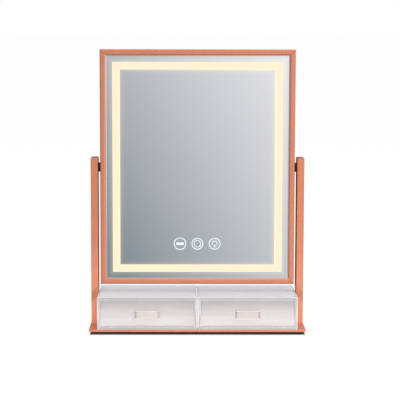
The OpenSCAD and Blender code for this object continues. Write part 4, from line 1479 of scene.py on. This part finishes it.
@dataclass
class Studio:
    """The pale floor, the soft light and the camera of the photograph."""

    target: Colour = (0.0044, 0.0, 0.2179)
    distance: float = 2.5
    azimuth: float = -0.6
    elevation: float = 6.76
    roll: float = 0.147
    lens: float = 132.48
    sensor: float = 36.0
    view_end: float = 100.0
    sweep: Sweep = Sweep()

    floor_half: float = 60.0
    floor_drop: float = 0.3 * MM
    floor_light: float = 1.10
    floor_matt: Colour = (0.80, 0.80, 0.80)
    shadow_share: float = 0.22
    close_tone: Colour = (0.80, 0.79, 0.79)
    close_from: Span = (-0.48, -0.36)
    # Painted shade that reflections see on the floor behind the object
    behind_painted_shade: Colour = (0.14, 0.085, 0.065)
    behind_from: Span = (0.0, 0.5)

    contact_reach: float = 9.5 * MM
    contact_fall: float = 4.0
    contact_depth: float = 0.97
    contact_narrowed: float = 5.0

    # How the sky's soft light grows along X, Y and Z, and its level in the middle
    soft_growth: Colour = (0.28, -0.22, 0.25)
    soft_middle: float = 0.62
    soft_tone: Colour = (1.0, 0.99, 0.985)
    soft_share: float = 0.95
    gloss_growth: float = 0.45
    gloss_middle: float = 0.72
    gloss_tone: Colour = (0.985, 0.985, 1.0)
    rear_from: Span = (0.2, 0.7)
    low_from: Span = (0.25, 0.55)
    rear_dimmed: float = -0.55
    least_ahead: float = 0.3
    sweep_from: Span = (0.80, 0.95)

    low_place: Colour = (0.06, -0.46, 0.02)
    low_size: Span = (0.5, 0.03)
    low_power: float = 0.42

    def build(self) -> None:
        """Makes the floor, the world, the lamps and the camera."""
        self.floor()
        self.world()
        self.lamp("KeyLamp", (1.5, -2.2, 2.0), 1.6, 24.0)
        self.lamp("FillLamp", (-2.4, -2.4, 1.2), 2.0, 10.0)
        self.lamp("TopLamp", (0.2, 0.4, 2.6), 2.4, 22.0)
        self.low_lamp()
        self.camera()
        bpy.context.scene.view_settings.view_transform = "Standard"
        LOG.info("Studio: floor, world, lamps and camera")

    def seen(self, graph: Graph) -> tuple[Socket, Socket]:
        """Which rays want the plain white ground, and which the softly graded one.

        Args:
            graph: the material's or world's graph.

        Returns:
            1 for rays of the camera and rays through clear plastic; 1 for reflected rays.
        """
        rays = graph.node("LightPath").outputs
        through = graph.math("GREATER_THAN", rays["Transmission Depth"], 0.5)
        plain = graph.highest(rays["Is Camera Ray"], rays["Is Transmission Ray"], through)
        return plain, graph.times(rays["Is Glossy Ray"], graph.minus(1.0, plain))

    def floor(self) -> None:
        """A wide pale floor; a mirror or metal sees it graded from the left front to the right."""
        shape = Shape()
        half = self.floor_half
        outline = ((-half, -half), (half, -half), (half, half), (-half, half))
        shape.fill(shape.ring([Vector((x, y, -self.floor_drop)) for x, y in outline]))
        floor = shape.finish("studio_floor")
        made = bpy.data.materials.new("StudioFloor")
        made.use_nodes = True
        graph = Graph(made.node_tree)
        graph.tree.nodes.clear()
        place = graph.axes(graph.surface("Object"))
        sweep = self.sweep.on_floor(graph, place)
        sweep = graph.mix(graph.spread(place[1], 0.0, 1.0, *self.close_from), sweep, self.close_tone)
        # Painted shade: for reflected rays the floor behind the object turns dark brown
        sweep = graph.mix(graph.spread(place[1], 0.0, 1.0, *self.behind_from), sweep, self.behind_painted_shade)
        plain, mirrored = self.seen(graph)
        shade = {"Color": self.contact_shade(graph, place), "Strength": self.floor_light}
        white = graph.node("Emission", shade).outputs[0]
        matt = graph.node("BsdfDiffuse", {"Color": self.floor_matt}).outputs[0]
        graded = graph.node("Emission", {"Color": sweep, "Strength": 1.0}).outputs[0]
        shown = graph.node("MixShader", {0: self.shadow_share, 1: white, 2: matt}).outputs[0]
        first = graph.node("MixShader", {0: plain, 1: matt, 2: shown}).outputs[0]
        last = graph.node("MixShader", {0: mirrored, 1: first, 2: graded}).outputs[0]
        graph.node("OutputMaterial", {"Surface": last})
        floor.data.materials.append(made)

    def contact_shade(self, graph: Graph, place: Sequence[Socket]) -> Socket:
        """The floor's white, darkened close round the pad, where hardly any light gets under the plate.

        Args:
            graph: the floor's graph.
            place: the point on the floor, as three sockets.

        Returns:
            The colour's socket.
        """
        low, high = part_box("base_pad")
        side = graph.minus(graph.math("ABSOLUTE", place[0]), high[0])
        behind = graph.minus(place[1], high[1])
        narrowed = (graph.times(part, self.contact_narrowed) for part in (side, behind))
        away = graph.highest(graph.minus(low[1], place[1]), *narrowed, 0.0)
        part = graph.math("DIVIDE", away, self.contact_reach)
        fade = graph.math("POWER", math.exp(-1), graph.math("POWER", part, self.contact_fall))
        return graph.mix(graph.times(fade, self.contact_depth), WHITE, BLACK)

    def world(self) -> None:
        """White behind everything, softer as a light, and graded for reflected rays."""
        world = bpy.data.worlds.new("StudioWorld")
        bpy.context.scene.world = world
        world.use_nodes = True
        graph = Graph(world.node_tree)
        graph.tree.nodes.clear()
        way = graph.axes(graph.surface("Generated"))
        level = graph.straight(way[0], self.soft_growth[0], self.soft_middle)
        level = graph.straight(way[1], self.soft_growth[1], level)
        level = graph.straight(way[2], self.soft_growth[2], level, clamp=True)
        soft = graph.scaled(graph.mix(level, BLACK, self.soft_tone), self.soft_share)
        bright = graph.straight(way[0], self.gloss_growth, self.gloss_middle, clamp=True)
        rear = graph.spread(way[1], 0.0, 1.0, *self.rear_from)
        low = graph.spread(way[2], 1.0, 0.0, *self.low_from)
        dim = graph.straight(graph.times(rear, low), self.rear_dimmed, 1.0)
        reflected = graph.scaled(self.gloss_tone, graph.times(bright, dim))
        ahead = graph.highest(graph.times(way[1], -1.0), self.least_ahead)
        sweep = self.sweep.in_sky(graph, way[0], ahead)
        facing = graph.mix(graph.spread(ahead, 0.0, 1.0, *self.sweep_from), reflected, sweep)
        plain, mirrored = self.seen(graph)
        colour = graph.mix(plain, graph.mix(mirrored, soft, facing), WHITE)
        light = graph.node("Background", {"Color": colour, "Strength": 1.0}).outputs[0]
        graph.node("OutputWorld", {"Surface": light})

    def lamp(self, name: str, place: Colour, size: float, power: float) -> bpy.types.Object:
        """Adds a soft square lamp that points at the object's middle.

        Args:
            name: the lamp's name.
            place: where it hangs, in metres.
            size: the length of its sides.
            power: its power in watts.

        Returns:
            The lamp.
        """
        data = bpy.data.lights.new(name, "AREA")
        data.shape, data.size, data.energy = "SQUARE", size, power
        made = bpy.data.objects.new(name, data)
        made.location = place
        made.rotation_euler = (Vector(self.target) - Vector(place)).to_track_quat("-Z", "Y").to_euler()
        bpy.context.scene.collection.objects.link(made)
        return made

    def low_lamp(self) -> None:
        """A low strip of light before the drawers, which shines level and shows in nothing."""
        low = self.lamp("LowLamp", self.low_place, self.low_size[0], self.low_power)
        low.data.shape, low.data.size_y = "RECTANGLE", self.low_size[1]
        low.rotation_euler = (math.pi / 2, 0.0, 0.0)
        low.visible_camera = low.visible_glossy = low.visible_transmission = False

    def camera(self) -> None:
        """The camera at the photograph's angle, on a long lens and with no shift."""
        data = bpy.data.cameras.new("StudioCamera")
        data.lens, data.sensor_width, data.sensor_fit = self.lens, self.sensor, "HORIZONTAL"
        data.clip_end = self.view_end
        turn, rise = math.radians(self.azimuth), math.radians(self.elevation)
        back = Vector((math.sin(turn) * math.cos(rise), -math.cos(turn) * math.cos(rise), math.sin(rise)))
        made = bpy.data.objects.new("StudioCamera", data)
        made.location = Vector(self.target) + back * self.distance
        aim = (-back).to_track_quat("-Z", "Y").to_matrix().to_4x4()
        made.rotation_euler = (aim @ Matrix.Rotation(math.radians(self.roll), 4, "Z")).to_euler()
        bpy.context.scene.collection.objects.link(made)
        bpy.context.scene.camera = made


def main() -> None:
    """Builds the sub-assemblies in order."""
    logging.basicConfig(level=logging.INFO, format="%(message)s")
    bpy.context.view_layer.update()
    parts: list[SubAssembly] = [
        Base("stand"),
        Posts("stand"),
        TiltPivots("stand", moulded=("pivot_washer", "pivot_bush")),
        TiltPivots("mirror_head", turned=("pivot_stud",), plated=("pivot_block", "spring_washer", "lock_nut")),
        MirrorFrame("mirror_head"),
        GlassPanel("mirror_head"),
        TouchSymbols("mirror_head"),
        LightBox("mirror_head"),
        Electronics("mirror_head"),
        BackPanel("mirror_head"),
        ClearDrawer("left_drawer", side="left"),
        ClearDrawer("right_drawer", side="right"),
    ]
    for part in parts:
        part.build()
    Studio().build()


if __name__ == "__main__":
    main()
